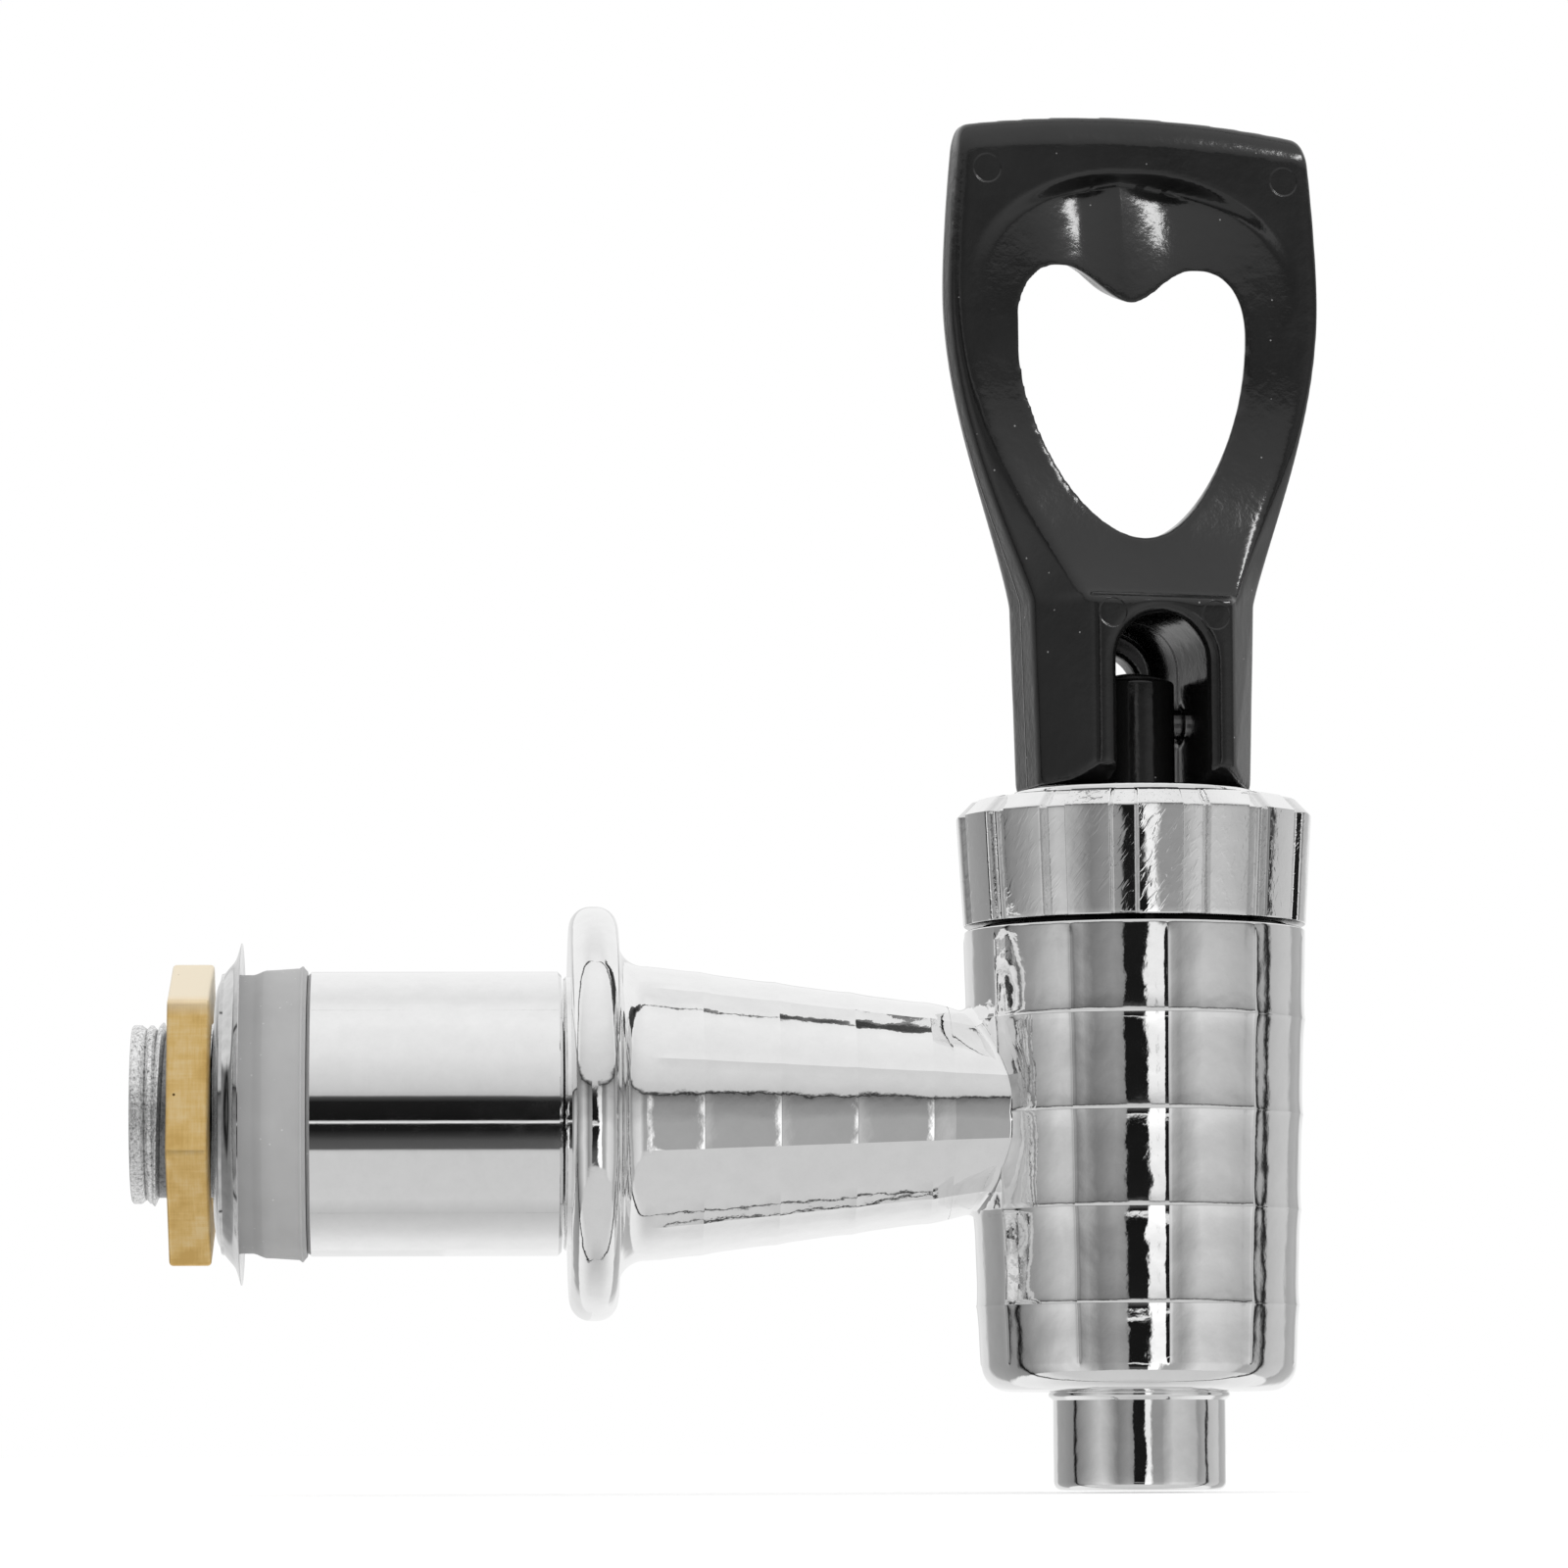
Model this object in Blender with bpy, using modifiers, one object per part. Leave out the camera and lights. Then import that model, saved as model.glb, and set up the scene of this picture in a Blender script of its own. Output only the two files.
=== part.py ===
"""Lever spigot for a beverage dispenser: chromed body on a threaded shank, with a lifting plunger.

Metres, +Z up. The origin is on the shank's axis at the flange's back face, +X runs along the arm
to the outlet, and the outlet's own axis is vertical. Run it in Blender 4.5.
"""

import math

import bmesh
import bpy
from mathutils import Matrix, Vector

# Fits and facets
SEAT_GAP = 0.0002  # between faces that rest on each other
SLIP_GAP = 0.0003  # radial room of rings and screwed pieces
PIN_GAP = 0.00015  # radial room of the handle's pin
CUT_PAST = 0.003  # how far a cutter runs out of what it cuts
ROUND_STEPS = 40
SMALL_STEPS = 24
ARC_HANDLE_SHARE = 0.5523  # of the radius: a spline handle that draws a quarter circle
STEPS_PER_LINE = 5  # facets of the body between two raised lines

# Shank, and what is clamped on it
SHANK_RADIUS = 0.0080
SHANK_BORE_RADIUS = 0.0050
SHANK_END_CHAMFER = 0.0005
SHANK_SCREWED_DEPTH = 0.0085  # length held in the body
SHANK_TIP_OVERHANG = 0.0034  # past the nut

FLANGE_RADIUS = 0.01835
FLANGE_THICKNESS = 0.0043
FLANGE_RIM_ROUND = 0.0017
FLANGE_PAD_RADIUS = 0.0129  # outside the sleeve and the gasket
FLANGE_PAD_THICKNESS = 0.0005

SLEEVE_RADIUS = 0.01255
SLEEVE_LENGTH = 0.0223
SLEEVE_EDGE = 0.00025

GASKET_RADIUS = 0.0127
GASKET_SMALL_RADIUS = 0.0122
GASKET_LENGTH = 0.0038
GASKET_SMALL_LENGTH = 0.0034
GASKET_LIP = 0.00015

WASHER_HUB_RADIUS = 0.0118
WASHER_DISH_RADIUS = 0.0140
WASHER_RIM_RADIUS = 0.0151
WASHER_THICKNESS = 0.0006
WASHER_DISH_DEPTH = 0.0016
WASHER_RIM_DEPTH = 0.0007
WASHER_HUB_ROUND = 0.0007

NUT_ACROSS_FLATS = 0.0240
NUT_THICKNESS = 0.0037
NUT_CORNER_RADIUS = 0.01365
NUT_TURNED_DEG = 17.0  # first corner, below the side that faces -Y
NUT_CHAMFER = 0.0004

# Arm, from the flange to the outlet chamber
ARM_ROOT_RADIUS = 0.01305
ARM_ROOT_X = 0.0065
ARM_END_RADIUS = 0.00905
ARM_END_X = 0.0360
ARM_FILLET = 0.0024
ARM_RING_FIRST_X = 0.0116
ARM_RING_SPACING = 0.0067
ARM_LINES = 10
ARM_LINE_TURNED_DEG = 35.0

# Outlet chamber
CHAMBER_X = 0.0503
CHAMBER_TOP_Z = 0.0163
CHAMBER_TOP_RADIUS = 0.0151
CHAMBER_BOTTOM_Z = -0.0246
CHAMBER_BOTTOM_RADIUS = 0.0138
CHAMBER_BOTTOM_ROUND = 0.0024
CHAMBER_EDGE = 0.0003
CHAMBER_RING_DROP = 0.00826  # from the chamber's top to its first ring
CHAMBER_RING_SPACING = 0.00839
CHAMBER_LINES = 11
CHAMBER_LINE_TURNED_DEG = 275.2
CHAMBER_BORE_RADIUS = 0.0114
CHAMBER_FLOOR_Z = -0.0190
CHAMBER_FLOOR_ROUND = 0.0015

NECK_RADIUS = 0.0132
NECK_TOP_Z = 0.0232

SEAT_BOSS_RADIUS = 0.0074
SEAT_BOSS_TOP_Z = -0.0143
SEAT_LIP_WIDTH = 0.0008

SPOUT_RADIUS = 0.0076
SPOUT_BORE_RADIUS = 0.0050
SPOUT_TIP_Z = -0.0333
SPOUT_TIP_ROUND = 0.00075
SPOUT_COLLAR_RADIUS = 0.0079
SPOUT_COLLAR_HEIGHT = 0.0006

# Raised rings and lengthwise lines, cast on the chamber and the arm
LINE_HEIGHT = 0.00014
LINE_HALF_WIDTH = 0.0003

# Bonnet screwed over the neck
BONNET_SHOULDER_RADIUS = 0.01575
BONNET_SKIRT_RADIUS = 0.0152
BONNET_SHOULDER_Z = 0.0262
BONNET_SHOULDER_EDGE = 0.0004
BONNET_LIP_RADIUS = 0.0108
BONNET_LIP_HEIGHT = 0.0007
BONNET_TOP_Z = 0.0284
BONNET_CEILING_Z = 0.0250
BONNET_FLUTES = 15
BONNET_FLUTE_DEPTH = 0.0005
BONNET_FLUTE_HALF_DEG = 4.35
BONNET_FLUTE_WALL_DEG = 1.15
BONNET_FLUTE_EDGE_SHARE = 0.85  # of the depth, at the foot of a flute's wall
BONNET_FLUTE_TURNED_DEG = -8.9
BONNET_HOLE_GAP = 0.0003

# Plunger
STEM_RADIUS = 0.00375
STEM_DOME_RADIUS = 0.0080
STEM_TOP_ABOVE_PIN = 0.0045
STEM_FOOT_RADIUS = 0.0061
STEM_FOOT_THICKNESS = 0.0026
STEM_FOOT_EDGE = 0.0004

CUP_PLUG_RADIUS = 0.0080
CUP_PLUG_THICKNESS = 0.0027
CUP_WALL = 0.0014
CUP_RIM_RADIUS = 0.0128
CUP_RIM_THICKNESS = 0.0012
CUP_FLARE_HEIGHT = 0.0035

SPRING_RADIUS = 0.0052
SPRING_WIRE_RADIUS = 0.00045
SPRING_TURNS = 8
SPRING_POINTS_PER_TURN = 10
SPRING_WASHER_RADIUS = 0.0063
SPRING_WASHER_THICKNESS = 0.0006

# Handle. Its own axes: U across the paddle, V through it, Z up
HANDLE_YAW_DEG = 13.5
PIN_ABOVE_BASE = 0.0060
PIN_RADIUS = 0.0015
PIN_BLIND_WALL = 0.0030  # left at the closed end of the pin's hole
BASE_FLAT_HALF = 0.0045  # also the lift for each radian of tilt
TILT_LIMIT_DEG = 35.0
NECK_HALF_WIDTH = 0.0104
NECK_SIDE_HALF = 0.0035
NECK_FACE_HALF = 0.0063
NECK_HALF_DEPTH = 0.0090
NECK_BASE_TAPER = 0.0005
NECK_HEIGHT = 0.0164
LEDGE_DEPTH = 0.0009
PADDLE_HALF_WIDTH = 0.01745
PADDLE_SIDE_HALF = 0.0014
PADDLE_HALF_DEPTH = 0.0026
PADDLE_FACE_INSET = 0.0013
PADDLE_TOP_HEIGHT = 0.0606
PADDLE_WIDEST_DROP = 0.0161  # below the top
PADDLE_TOP_CROWN = 0.0014
PADDLE_TOP_ROUND = 0.0024
PADDLE_SWELL_STEPS = 10
PADDLE_SHOULDER_INSET = 0.0009  # where the top's rounding starts
PADDLE_CORNER_INSET = 0.0036  # where it ends
PADDLE_TOP_THINNING = 0.0017
SLOT_HALF_WIDTH = 0.0043
SLOT_TOP_HEIGHT = 0.0151
HEART_TOP_DROP = 0.0139  # below the paddle's top
HEART_ABOVE_NECK = 0.0057
HEART_SIDE_WALL = 0.00665  # of the paddle, beside the heart
HEART_NOTCH_SHARE = 0.13  # of the heart's height
HEART_WIDEST_SHARE = 0.24  # of the heart's height, below the crests
HEART_LOBE_SHARE = 0.6  # of its half width, from the middle to the crest of a lobe
HEART_NOTCH_ROUND = 0.0012
HEART_POINT_SHARE = 0.43  # how flat the point is, of its half width
SCOOP_HALF_WIDTH = 0.0155
SCOOP_HALF_HEIGHT = 0.0098
SCOOP_DEPTH = 0.0012
SCOOP_BELOW_HEART_TOP = 0.0015

# Places that follow from the sizes
SLEEVE_END_X = -FLANGE_PAD_THICKNESS - SEAT_GAP
SLEEVE_FAR_X = SLEEVE_END_X - SLEEVE_LENGTH
GASKET_END_X = SLEEVE_FAR_X - SEAT_GAP
GASKET_STEP_X = GASKET_END_X - GASKET_LENGTH
GASKET_FAR_X = GASKET_STEP_X - GASKET_SMALL_LENGTH
WASHER_HUB_X = GASKET_FAR_X - SEAT_GAP
WASHER_BACK_X = WASHER_HUB_X - WASHER_THICKNESS
NUT_FACE_X = WASHER_BACK_X - SEAT_GAP
NUT_FAR_X = NUT_FACE_X - NUT_THICKNESS
SHANK_TIP_X = NUT_FAR_X - SHANK_TIP_OVERHANG
RING_BORE_RADIUS = SHANK_RADIUS + SLIP_GAP

HANDLE_BASE_Z = BONNET_TOP_Z + SEAT_GAP
PADDLE_WIDEST_HEIGHT = PADDLE_TOP_HEIGHT - PADDLE_WIDEST_DROP
HEART_TOP_HEIGHT = PADDLE_TOP_HEIGHT - HEART_TOP_DROP
HEART_HEIGHT = HEART_TOP_HEIGHT - NECK_HEIGHT - HEART_ABOVE_NECK
HEART_HALF_WIDTH = PADDLE_HALF_WIDTH - HEART_SIDE_WALL
SCOOP_CENTRE_HEIGHT = HEART_TOP_HEIGHT - SCOOP_BELOW_HEART_TOP
PIN_Z = HANDLE_BASE_Z + PIN_ABOVE_BASE
STEM_TOP_Z = PIN_Z + STEM_TOP_ABOVE_PIN
CUP_FACE_Z = SEAT_BOSS_TOP_Z + SEAT_GAP
CUP_FLOOR_Z = CUP_FACE_Z + CUP_PLUG_THICKNESS
CUP_BORE_RADIUS = CUP_PLUG_RADIUS - CUP_WALL
STEM_FOOT_Z = CUP_FLOOR_Z + SEAT_GAP
STEM_FOOT_TOP_Z = STEM_FOOT_Z + STEM_FOOT_THICKNESS
CUP_RIM_Z = NECK_TOP_Z + SEAT_GAP
SPRING_WASHER_Z = BONNET_CEILING_Z - SEAT_GAP - SPRING_WASHER_THICKNESS
SPRING_LOW_Z = STEM_FOOT_TOP_Z + SEAT_GAP + SPRING_WIRE_RADIUS
SPRING_HIGH_Z = SPRING_WASHER_Z - SEAT_GAP - SPRING_WIRE_RADIUS
STEM_HOLE_RADIUS = STEM_RADIUS + BONNET_HOLE_GAP

CHAMBER_AXIS = Vector((CHAMBER_X, 0.0, 0.0))
HANDLE_YAW = math.radians(HANDLE_YAW_DEG)
LATHE_ALONG_X = Matrix.Rotation(math.pi / 2, 4, "Y")


def clear_scene():
    for old in list(bpy.data.objects):
        bpy.data.objects.remove(old, do_unlink=True)


def collection_named(name):
    made = bpy.data.collections.new(name)
    bpy.context.scene.collection.children.link(made)
    return made


def finish(name, colour, roughness, metallic):
    material = bpy.data.materials.new(name)
    material.use_nodes = True
    shader = material.node_tree.nodes["Principled BSDF"]
    shader.inputs["Base Color"].default_value = (*colour, 1.0)
    shader.inputs["Roughness"].default_value = roughness
    shader.inputs["Metallic"].default_value = metallic
    return material


def add_object(name, mesh, material):
    made = bpy.data.objects.new(name, mesh)
    parts.objects.link(made)
    mesh.materials.clear()
    mesh.materials.append(material)
    return made


def as_cutter(made):
    """Turns a solid into a hidden helper that only cuts others."""
    for home in list(made.users_collection):
        home.objects.unlink(made)
    cutters.objects.link(made)
    made.hide_render = True
    made.display_type = "WIRE"
    return made


def boolean(target, other, operation):
    step = target.modifiers.new(f"{operation.lower()} {other.name}", "BOOLEAN")
    step.operation = operation
    step.object = other
    step.solver = "EXACT"


def shade_round(mesh, sharp_deg=30):
    mesh.shade_smooth()
    mesh.set_sharp_from_angle(angle=math.radians(sharp_deg))


def profile_mesh(name, outline, closed):
    """Edges of a half section in the XZ plane, ordered so that the turned solid faces out."""
    across = zip(outline, outline[1:] + outline[:1])
    turned = sum(r1 * z2 - r2 * z1 for (r1, z1), (r2, z2) in across)
    points = list(outline) if turned < 0 else list(reversed(outline))
    edges = [(i, i + 1) for i in range(len(points) - 1)]
    if closed:
        edges.append((len(points) - 1, 0))
    mesh = bpy.data.meshes.new(name)
    mesh.from_pydata([(r, 0.0, z) for r, z in points], edges, [])
    return mesh


def turned(name, outline, material, steps=ROUND_STEPS):
    """A solid turned about Z from (radius, height) points: a ring if no point is on the axis."""
    on_axis = any(r == 0.0 for r, _ in outline)
    mesh = profile_mesh(name, outline, closed=not on_axis)
    made = add_object(name, mesh, material)
    screw = made.modifiers.new("turn", "SCREW")
    screw.steps = steps
    screw.render_steps = steps
    screw.use_merge_vertices = True
    screw.merge_threshold = 0.000001
    screw.use_smooth_shade = True
    return made


def along_x(made):
    """Lays a turned solid down, so that its heights run along +X."""
    made.matrix_world = LATHE_ALONG_X
    return made


def on_chamber_axis(made):
    made.location = CHAMBER_AXIS
    return made


def quarter(centre, radius, start_deg, end_deg, steps=3):
    """Points of an arc, for rounded corners and fillets of a profile."""
    r0, z0 = centre
    span = end_deg - start_deg
    angles = [math.radians(start_deg + span * i / steps) for i in range(steps + 1)]
    return [(r0 + radius * math.cos(a), z0 + radius * math.sin(a)) for a in angles]


def ring_places(first, spacing, last):
    """Evenly spaced places from the first towards the last, as many as fit."""
    room = abs(last - first) - LINE_HALF_WIDTH
    count = int(room / spacing) + 1
    return [first + math.copysign(spacing, last - first) * i for i in range(count)]


def with_rings(start, end, places):
    """Adds a fine raised ring at each place along a straight (radius, height) stretch."""
    (r1, z1), (r2, z2) = start, end
    slope = (r2 - r1) / (z2 - z1)
    half_width = math.copysign(LINE_HALF_WIDTH, z2 - z1)
    points = [start]
    for place in places:
        for near, rise in ((place - half_width, 0.0), (place, LINE_HEIGHT), (place + half_width, 0.0)):
            points.append((r1 + slope * (near - z1) + rise, near))
    return points + [end]


def line_offset(place, pitch, foot):
    """Angle of one facet corner from its line: the two next to the line stand at its foot."""
    if place == 0:
        return 0.0
    return foot + (pitch - 2 * foot) * (place - 1) / (STEPS_PER_LINE - 2)


def spun_with_lines(name, outline, count, turned_deg, span):
    """A turned solid with fine raised lines down it, between the two heights of span.

    The facet corners beside a line are drawn in to its foot, and the corner on it stands out.
    """
    steps = count * STEPS_PER_LINE
    pitch = 2 * math.pi / count
    low, high = span
    bm = bmesh.new()
    verts = [bm.verts.new((r, 0.0, z)) for r, z in outline]
    edges = [bm.edges.new(pair) for pair in zip(verts, verts[1:])]
    bmesh.ops.spin(
        bm, geom=verts + edges, axis=(0, 0, 1), cent=(0, 0, 0), angle=2 * math.pi,
        steps=steps, use_merge=True,
    )
    bmesh.ops.remove_doubles(bm, verts=bm.verts[:], dist=0.000001)
    for vert in bm.verts:
        radius = math.hypot(vert.co.x, vert.co.y)
        if radius < LINE_HALF_WIDTH:
            continue
        index = round(math.atan2(vert.co.y, vert.co.x) / (2 * math.pi) * steps)
        line, place = divmod(index, STEPS_PER_LINE)
        foot = LINE_HALF_WIDTH / radius
        angle = line * pitch + line_offset(place, pitch, foot) + math.radians(turned_deg)
        if place == 0 and low < vert.co.z < high:
            radius += LINE_HEIGHT
        vert.co.x = radius * math.cos(angle)
        vert.co.y = radius * math.sin(angle)
    bmesh.ops.recalc_face_normals(bm, faces=bm.faces[:])
    mesh = bpy.data.meshes.new(name)
    bm.to_mesh(mesh)
    bm.free()
    shade_round(mesh)
    return add_object(name, mesh, chrome)


def body_arm():
    """Flange with a rounded rim, its fillet, and the tapering arm with its rings and lines."""
    rim = FLANGE_RIM_ROUND
    top = FLANGE_RADIUS - rim
    fillet_x = FLANGE_THICKNESS + ARM_FILLET
    slope = (ARM_END_RADIUS - ARM_ROOT_RADIUS) / (ARM_END_X - ARM_ROOT_X)
    reach = CHAMBER_X - CHAMBER_BORE_RADIUS + CUT_PAST
    reach_radius = ARM_ROOT_RADIUS + slope * (reach - ARM_ROOT_X)
    rings = ring_places(ARM_RING_FIRST_X, ARM_RING_SPACING, CHAMBER_X - CHAMBER_TOP_RADIUS)
    cone = with_rings((ARM_ROOT_RADIUS, ARM_ROOT_X), (reach_radius, reach), rings)
    outline = (
        [(0.0, -FLANGE_PAD_THICKNESS), (FLANGE_PAD_RADIUS, -FLANGE_PAD_THICKNESS)]
        + [(FLANGE_PAD_RADIUS, 0.0)]
        + quarter((top, rim), rim, -90, 0)
        + quarter((top, FLANGE_THICKNESS - rim), rim, 0, 90)
        + quarter((ARM_ROOT_RADIUS + ARM_FILLET, fillet_x), ARM_FILLET, 270, 184)
        + cone[1:]
        + [(0.0, reach)]
    )
    span = (fillet_x, reach)
    return along_x(spun_with_lines("faucet_body", outline, ARM_LINES, ARM_LINE_TURNED_DEG, span))


def body_chamber():
    """Tapering round chamber with its rings and lines, its neck above and the spout below."""
    drop = CHAMBER_BOTTOM_ROUND
    side_low = (CHAMBER_BOTTOM_RADIUS, CHAMBER_BOTTOM_Z + drop)
    side_high = (CHAMBER_TOP_RADIUS, CHAMBER_TOP_Z - CHAMBER_EDGE)
    rings = ring_places(CHAMBER_TOP_Z - CHAMBER_RING_DROP, CHAMBER_RING_SPACING, side_low[1])
    collar_z = CHAMBER_BOTTOM_Z - SPOUT_COLLAR_HEIGHT
    outline = (
        [(0.0, NECK_TOP_Z), (NECK_RADIUS, NECK_TOP_Z), (NECK_RADIUS, CHAMBER_TOP_Z)]
        + [(CHAMBER_TOP_RADIUS - CHAMBER_EDGE, CHAMBER_TOP_Z)]
        + with_rings(side_high, side_low, rings)
        + quarter((CHAMBER_BOTTOM_RADIUS - drop, CHAMBER_BOTTOM_Z + drop), drop, 0, -90)[1:]
        + [(SPOUT_COLLAR_RADIUS, CHAMBER_BOTTOM_Z), (SPOUT_COLLAR_RADIUS, collar_z)]
        + [(SPOUT_RADIUS, collar_z - (SPOUT_COLLAR_RADIUS - SPOUT_RADIUS))]
        + quarter((SPOUT_RADIUS - SPOUT_TIP_ROUND, SPOUT_TIP_Z + SPOUT_TIP_ROUND),
                  SPOUT_TIP_ROUND, 0, -90, 3)
        + [(0.0, SPOUT_TIP_Z)]
    )
    span = (CHAMBER_BOTTOM_Z + drop - CHAMBER_EDGE, CHAMBER_TOP_Z - 2 * CHAMBER_EDGE)
    wall = spun_with_lines("chamber_wall", outline, CHAMBER_LINES, CHAMBER_LINE_TURNED_DEG, span)
    return as_cutter(on_chamber_axis(wall))


def body_hollow():
    """The water space: bore, floor, and the raised seat round the outlet."""
    corner = CHAMBER_FLOOR_ROUND
    outline = (
        [(0.0, NECK_TOP_Z + CUT_PAST), (CHAMBER_BORE_RADIUS, NECK_TOP_Z + CUT_PAST)]
        + quarter((CHAMBER_BORE_RADIUS - corner, CHAMBER_FLOOR_Z + corner), corner, 0, -90, 3)
        + [(SEAT_BOSS_RADIUS, CHAMBER_FLOOR_Z)]
        + [(SEAT_BOSS_RADIUS - SEAT_LIP_WIDTH, SEAT_BOSS_TOP_Z)]
        + [(SPOUT_BORE_RADIUS, SEAT_BOSS_TOP_Z)]
        + [(SPOUT_BORE_RADIUS, SPOUT_TIP_Z - CUT_PAST), (0.0, SPOUT_TIP_Z - CUT_PAST)]
    )
    return as_cutter(on_chamber_axis(turned("hollow", outline, chrome)))


def body_inlet():
    """The inlet way through the arm, and the wider socket that the shank screws into."""
    start = -FLANGE_PAD_THICKNESS - CUT_PAST
    socket = SHANK_SCREWED_DEPTH + SEAT_GAP
    outline = [
        (0.0, start), (RING_BORE_RADIUS, start), (RING_BORE_RADIUS, socket),
        (SHANK_BORE_RADIUS, socket), (SHANK_BORE_RADIUS, CHAMBER_X), (0.0, CHAMBER_X),
    ]
    return as_cutter(along_x(turned("inlet_way", outline, chrome)))


def make_body():
    body = body_arm()
    boolean(body, body_chamber(), "UNION")
    boolean(body, body_hollow(), "DIFFERENCE")
    boolean(body, body_inlet(), "DIFFERENCE")
    return body


def make_shank():
    cut = SHANK_END_CHAMFER
    outline = [
        (SHANK_BORE_RADIUS, SHANK_TIP_X), (SHANK_RADIUS - cut, SHANK_TIP_X),
        (SHANK_RADIUS, SHANK_TIP_X + cut), (SHANK_RADIUS, SHANK_SCREWED_DEPTH),
        (SHANK_BORE_RADIUS, SHANK_SCREWED_DEPTH),
    ]
    return along_x(turned("threaded_shank", outline, zinc))


def make_sleeve():
    edge = SLEEVE_EDGE
    outline = [
        (RING_BORE_RADIUS, SLEEVE_FAR_X), (SLEEVE_RADIUS - edge, SLEEVE_FAR_X),
        (SLEEVE_RADIUS, SLEEVE_FAR_X + edge), (SLEEVE_RADIUS, SLEEVE_END_X - edge),
        (SLEEVE_RADIUS - edge, SLEEVE_END_X), (RING_BORE_RADIUS, SLEEVE_END_X),
    ]
    return along_x(turned("spacer_sleeve", outline, chrome))


def make_gasket():
    """Stepped silicone ring: a thick disc with a lip, and a smaller one on the washer's side."""
    lip = GASKET_LIP
    step = GASKET_RADIUS - GASKET_SMALL_RADIUS
    outline = [
        (RING_BORE_RADIUS, GASKET_FAR_X), (GASKET_SMALL_RADIUS, GASKET_FAR_X),
        (GASKET_SMALL_RADIUS, GASKET_STEP_X - step), (GASKET_RADIUS, GASKET_STEP_X),
        (GASKET_RADIUS, GASKET_END_X - 2 * lip), (GASKET_RADIUS + lip, GASKET_END_X - lip),
        (GASKET_RADIUS + lip, GASKET_END_X), (RING_BORE_RADIUS, GASKET_END_X),
    ]
    return along_x(turned("tank_gasket", outline, silicone))


def make_cup_washer():
    """Pressed washer: flat hub under the nut, dished side, and a thin flared rim."""
    thick = WASHER_THICKNESS
    dish_x = WASHER_BACK_X + WASHER_DISH_DEPTH
    rim_x = dish_x + WASHER_RIM_DEPTH
    outline = [
        (RING_BORE_RADIUS, WASHER_BACK_X), (WASHER_HUB_RADIUS, WASHER_BACK_X),
        (WASHER_HUB_RADIUS + WASHER_HUB_ROUND, WASHER_BACK_X + WASHER_HUB_ROUND / 3),
        (WASHER_DISH_RADIUS, dish_x), (WASHER_RIM_RADIUS, rim_x),
        (WASHER_RIM_RADIUS, rim_x + thick / 3), (WASHER_DISH_RADIUS - thick / 2, dish_x + thick),
        (GASKET_SMALL_RADIUS + SLIP_GAP, WASHER_HUB_X + thick / 2),
        (WASHER_HUB_RADIUS, WASHER_HUB_X), (RING_BORE_RADIUS, WASHER_HUB_X),
    ]
    return along_x(turned("cup_washer", outline, steel))


def make_nut():
    """Hexagon with turned corners, bored to clear the shank's thread crests."""
    corner = NUT_ACROSS_FLATS / 2 / math.cos(math.pi / 6)
    bm = bmesh.new()
    bmesh.ops.create_cone(
        bm, cap_ends=True, segments=6, radius1=corner, radius2=corner, depth=NUT_THICKNESS
    )
    edges = [edge for edge in bm.edges if abs(edge.verts[0].co.z - edge.verts[1].co.z) > 0.001]
    bmesh.ops.bevel(
        bm, geom=edges, offset=NUT_CHAMFER, offset_type="WIDTH", affect="EDGES", segments=2,
        profile=0.5, material=-1,
    )
    mesh = bpy.data.meshes.new("lock_nut")
    bm.to_mesh(mesh)
    bm.free()
    nut = add_object("lock_nut", mesh, brass)
    # Turning about X from the side that faces -Y, a corner's angle grows downwards.
    turn = Matrix.Rotation(math.radians(180 + NUT_TURNED_DEG), 4, "X")
    middle = Matrix.Translation((NUT_FACE_X - NUT_THICKNESS / 2, 0, 0))
    quarter_turn = Matrix.Rotation(math.pi / 2, 4, "Z")
    nut.matrix_world = middle @ turn @ LATHE_ALONG_X @ quarter_turn
    half = NUT_THICKNESS / 2
    edge = NUT_CHAMFER
    blank = [
        (RING_BORE_RADIUS, -half), (NUT_CORNER_RADIUS - edge, -half),
        (NUT_CORNER_RADIUS, edge - half), (NUT_CORNER_RADIUS, half - edge),
        (NUT_CORNER_RADIUS - edge, half), (RING_BORE_RADIUS, half),
    ]
    turning = as_cutter(turned("nut_turning", blank, brass))
    turning.matrix_world = middle @ LATHE_ALONG_X
    boolean(nut, turning, "INTERSECT")
    return nut


def bonnet_outline():
    """Half section of the bonnet, from its lip down the outside and back up the bore."""
    edge = BONNET_SHOULDER_EDGE
    skirt_z = CHAMBER_TOP_Z + SEAT_GAP
    bore = NECK_RADIUS + SLIP_GAP
    lip_base = BONNET_TOP_Z - BONNET_LIP_HEIGHT
    outside = [
        (STEM_HOLE_RADIUS, BONNET_TOP_Z), (BONNET_LIP_RADIUS - edge / 2, BONNET_TOP_Z),
        (BONNET_LIP_RADIUS, BONNET_TOP_Z - edge / 2), (BONNET_LIP_RADIUS, lip_base),
        (BONNET_SHOULDER_RADIUS - 3 * edge, BONNET_SHOULDER_Z + 1.5 * edge),
        (BONNET_SHOULDER_RADIUS - edge, BONNET_SHOULDER_Z + edge),
        (BONNET_SHOULDER_RADIUS, BONNET_SHOULDER_Z),
        (BONNET_SKIRT_RADIUS, skirt_z + edge), (BONNET_SKIRT_RADIUS - edge / 2, skirt_z),
    ]
    inside = [
        (bore, skirt_z), (bore, BONNET_CEILING_Z), (STEM_HOLE_RADIUS, BONNET_CEILING_Z),
        (STEM_HOLE_RADIUS, BONNET_TOP_Z),
    ]
    return outside + inside


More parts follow.
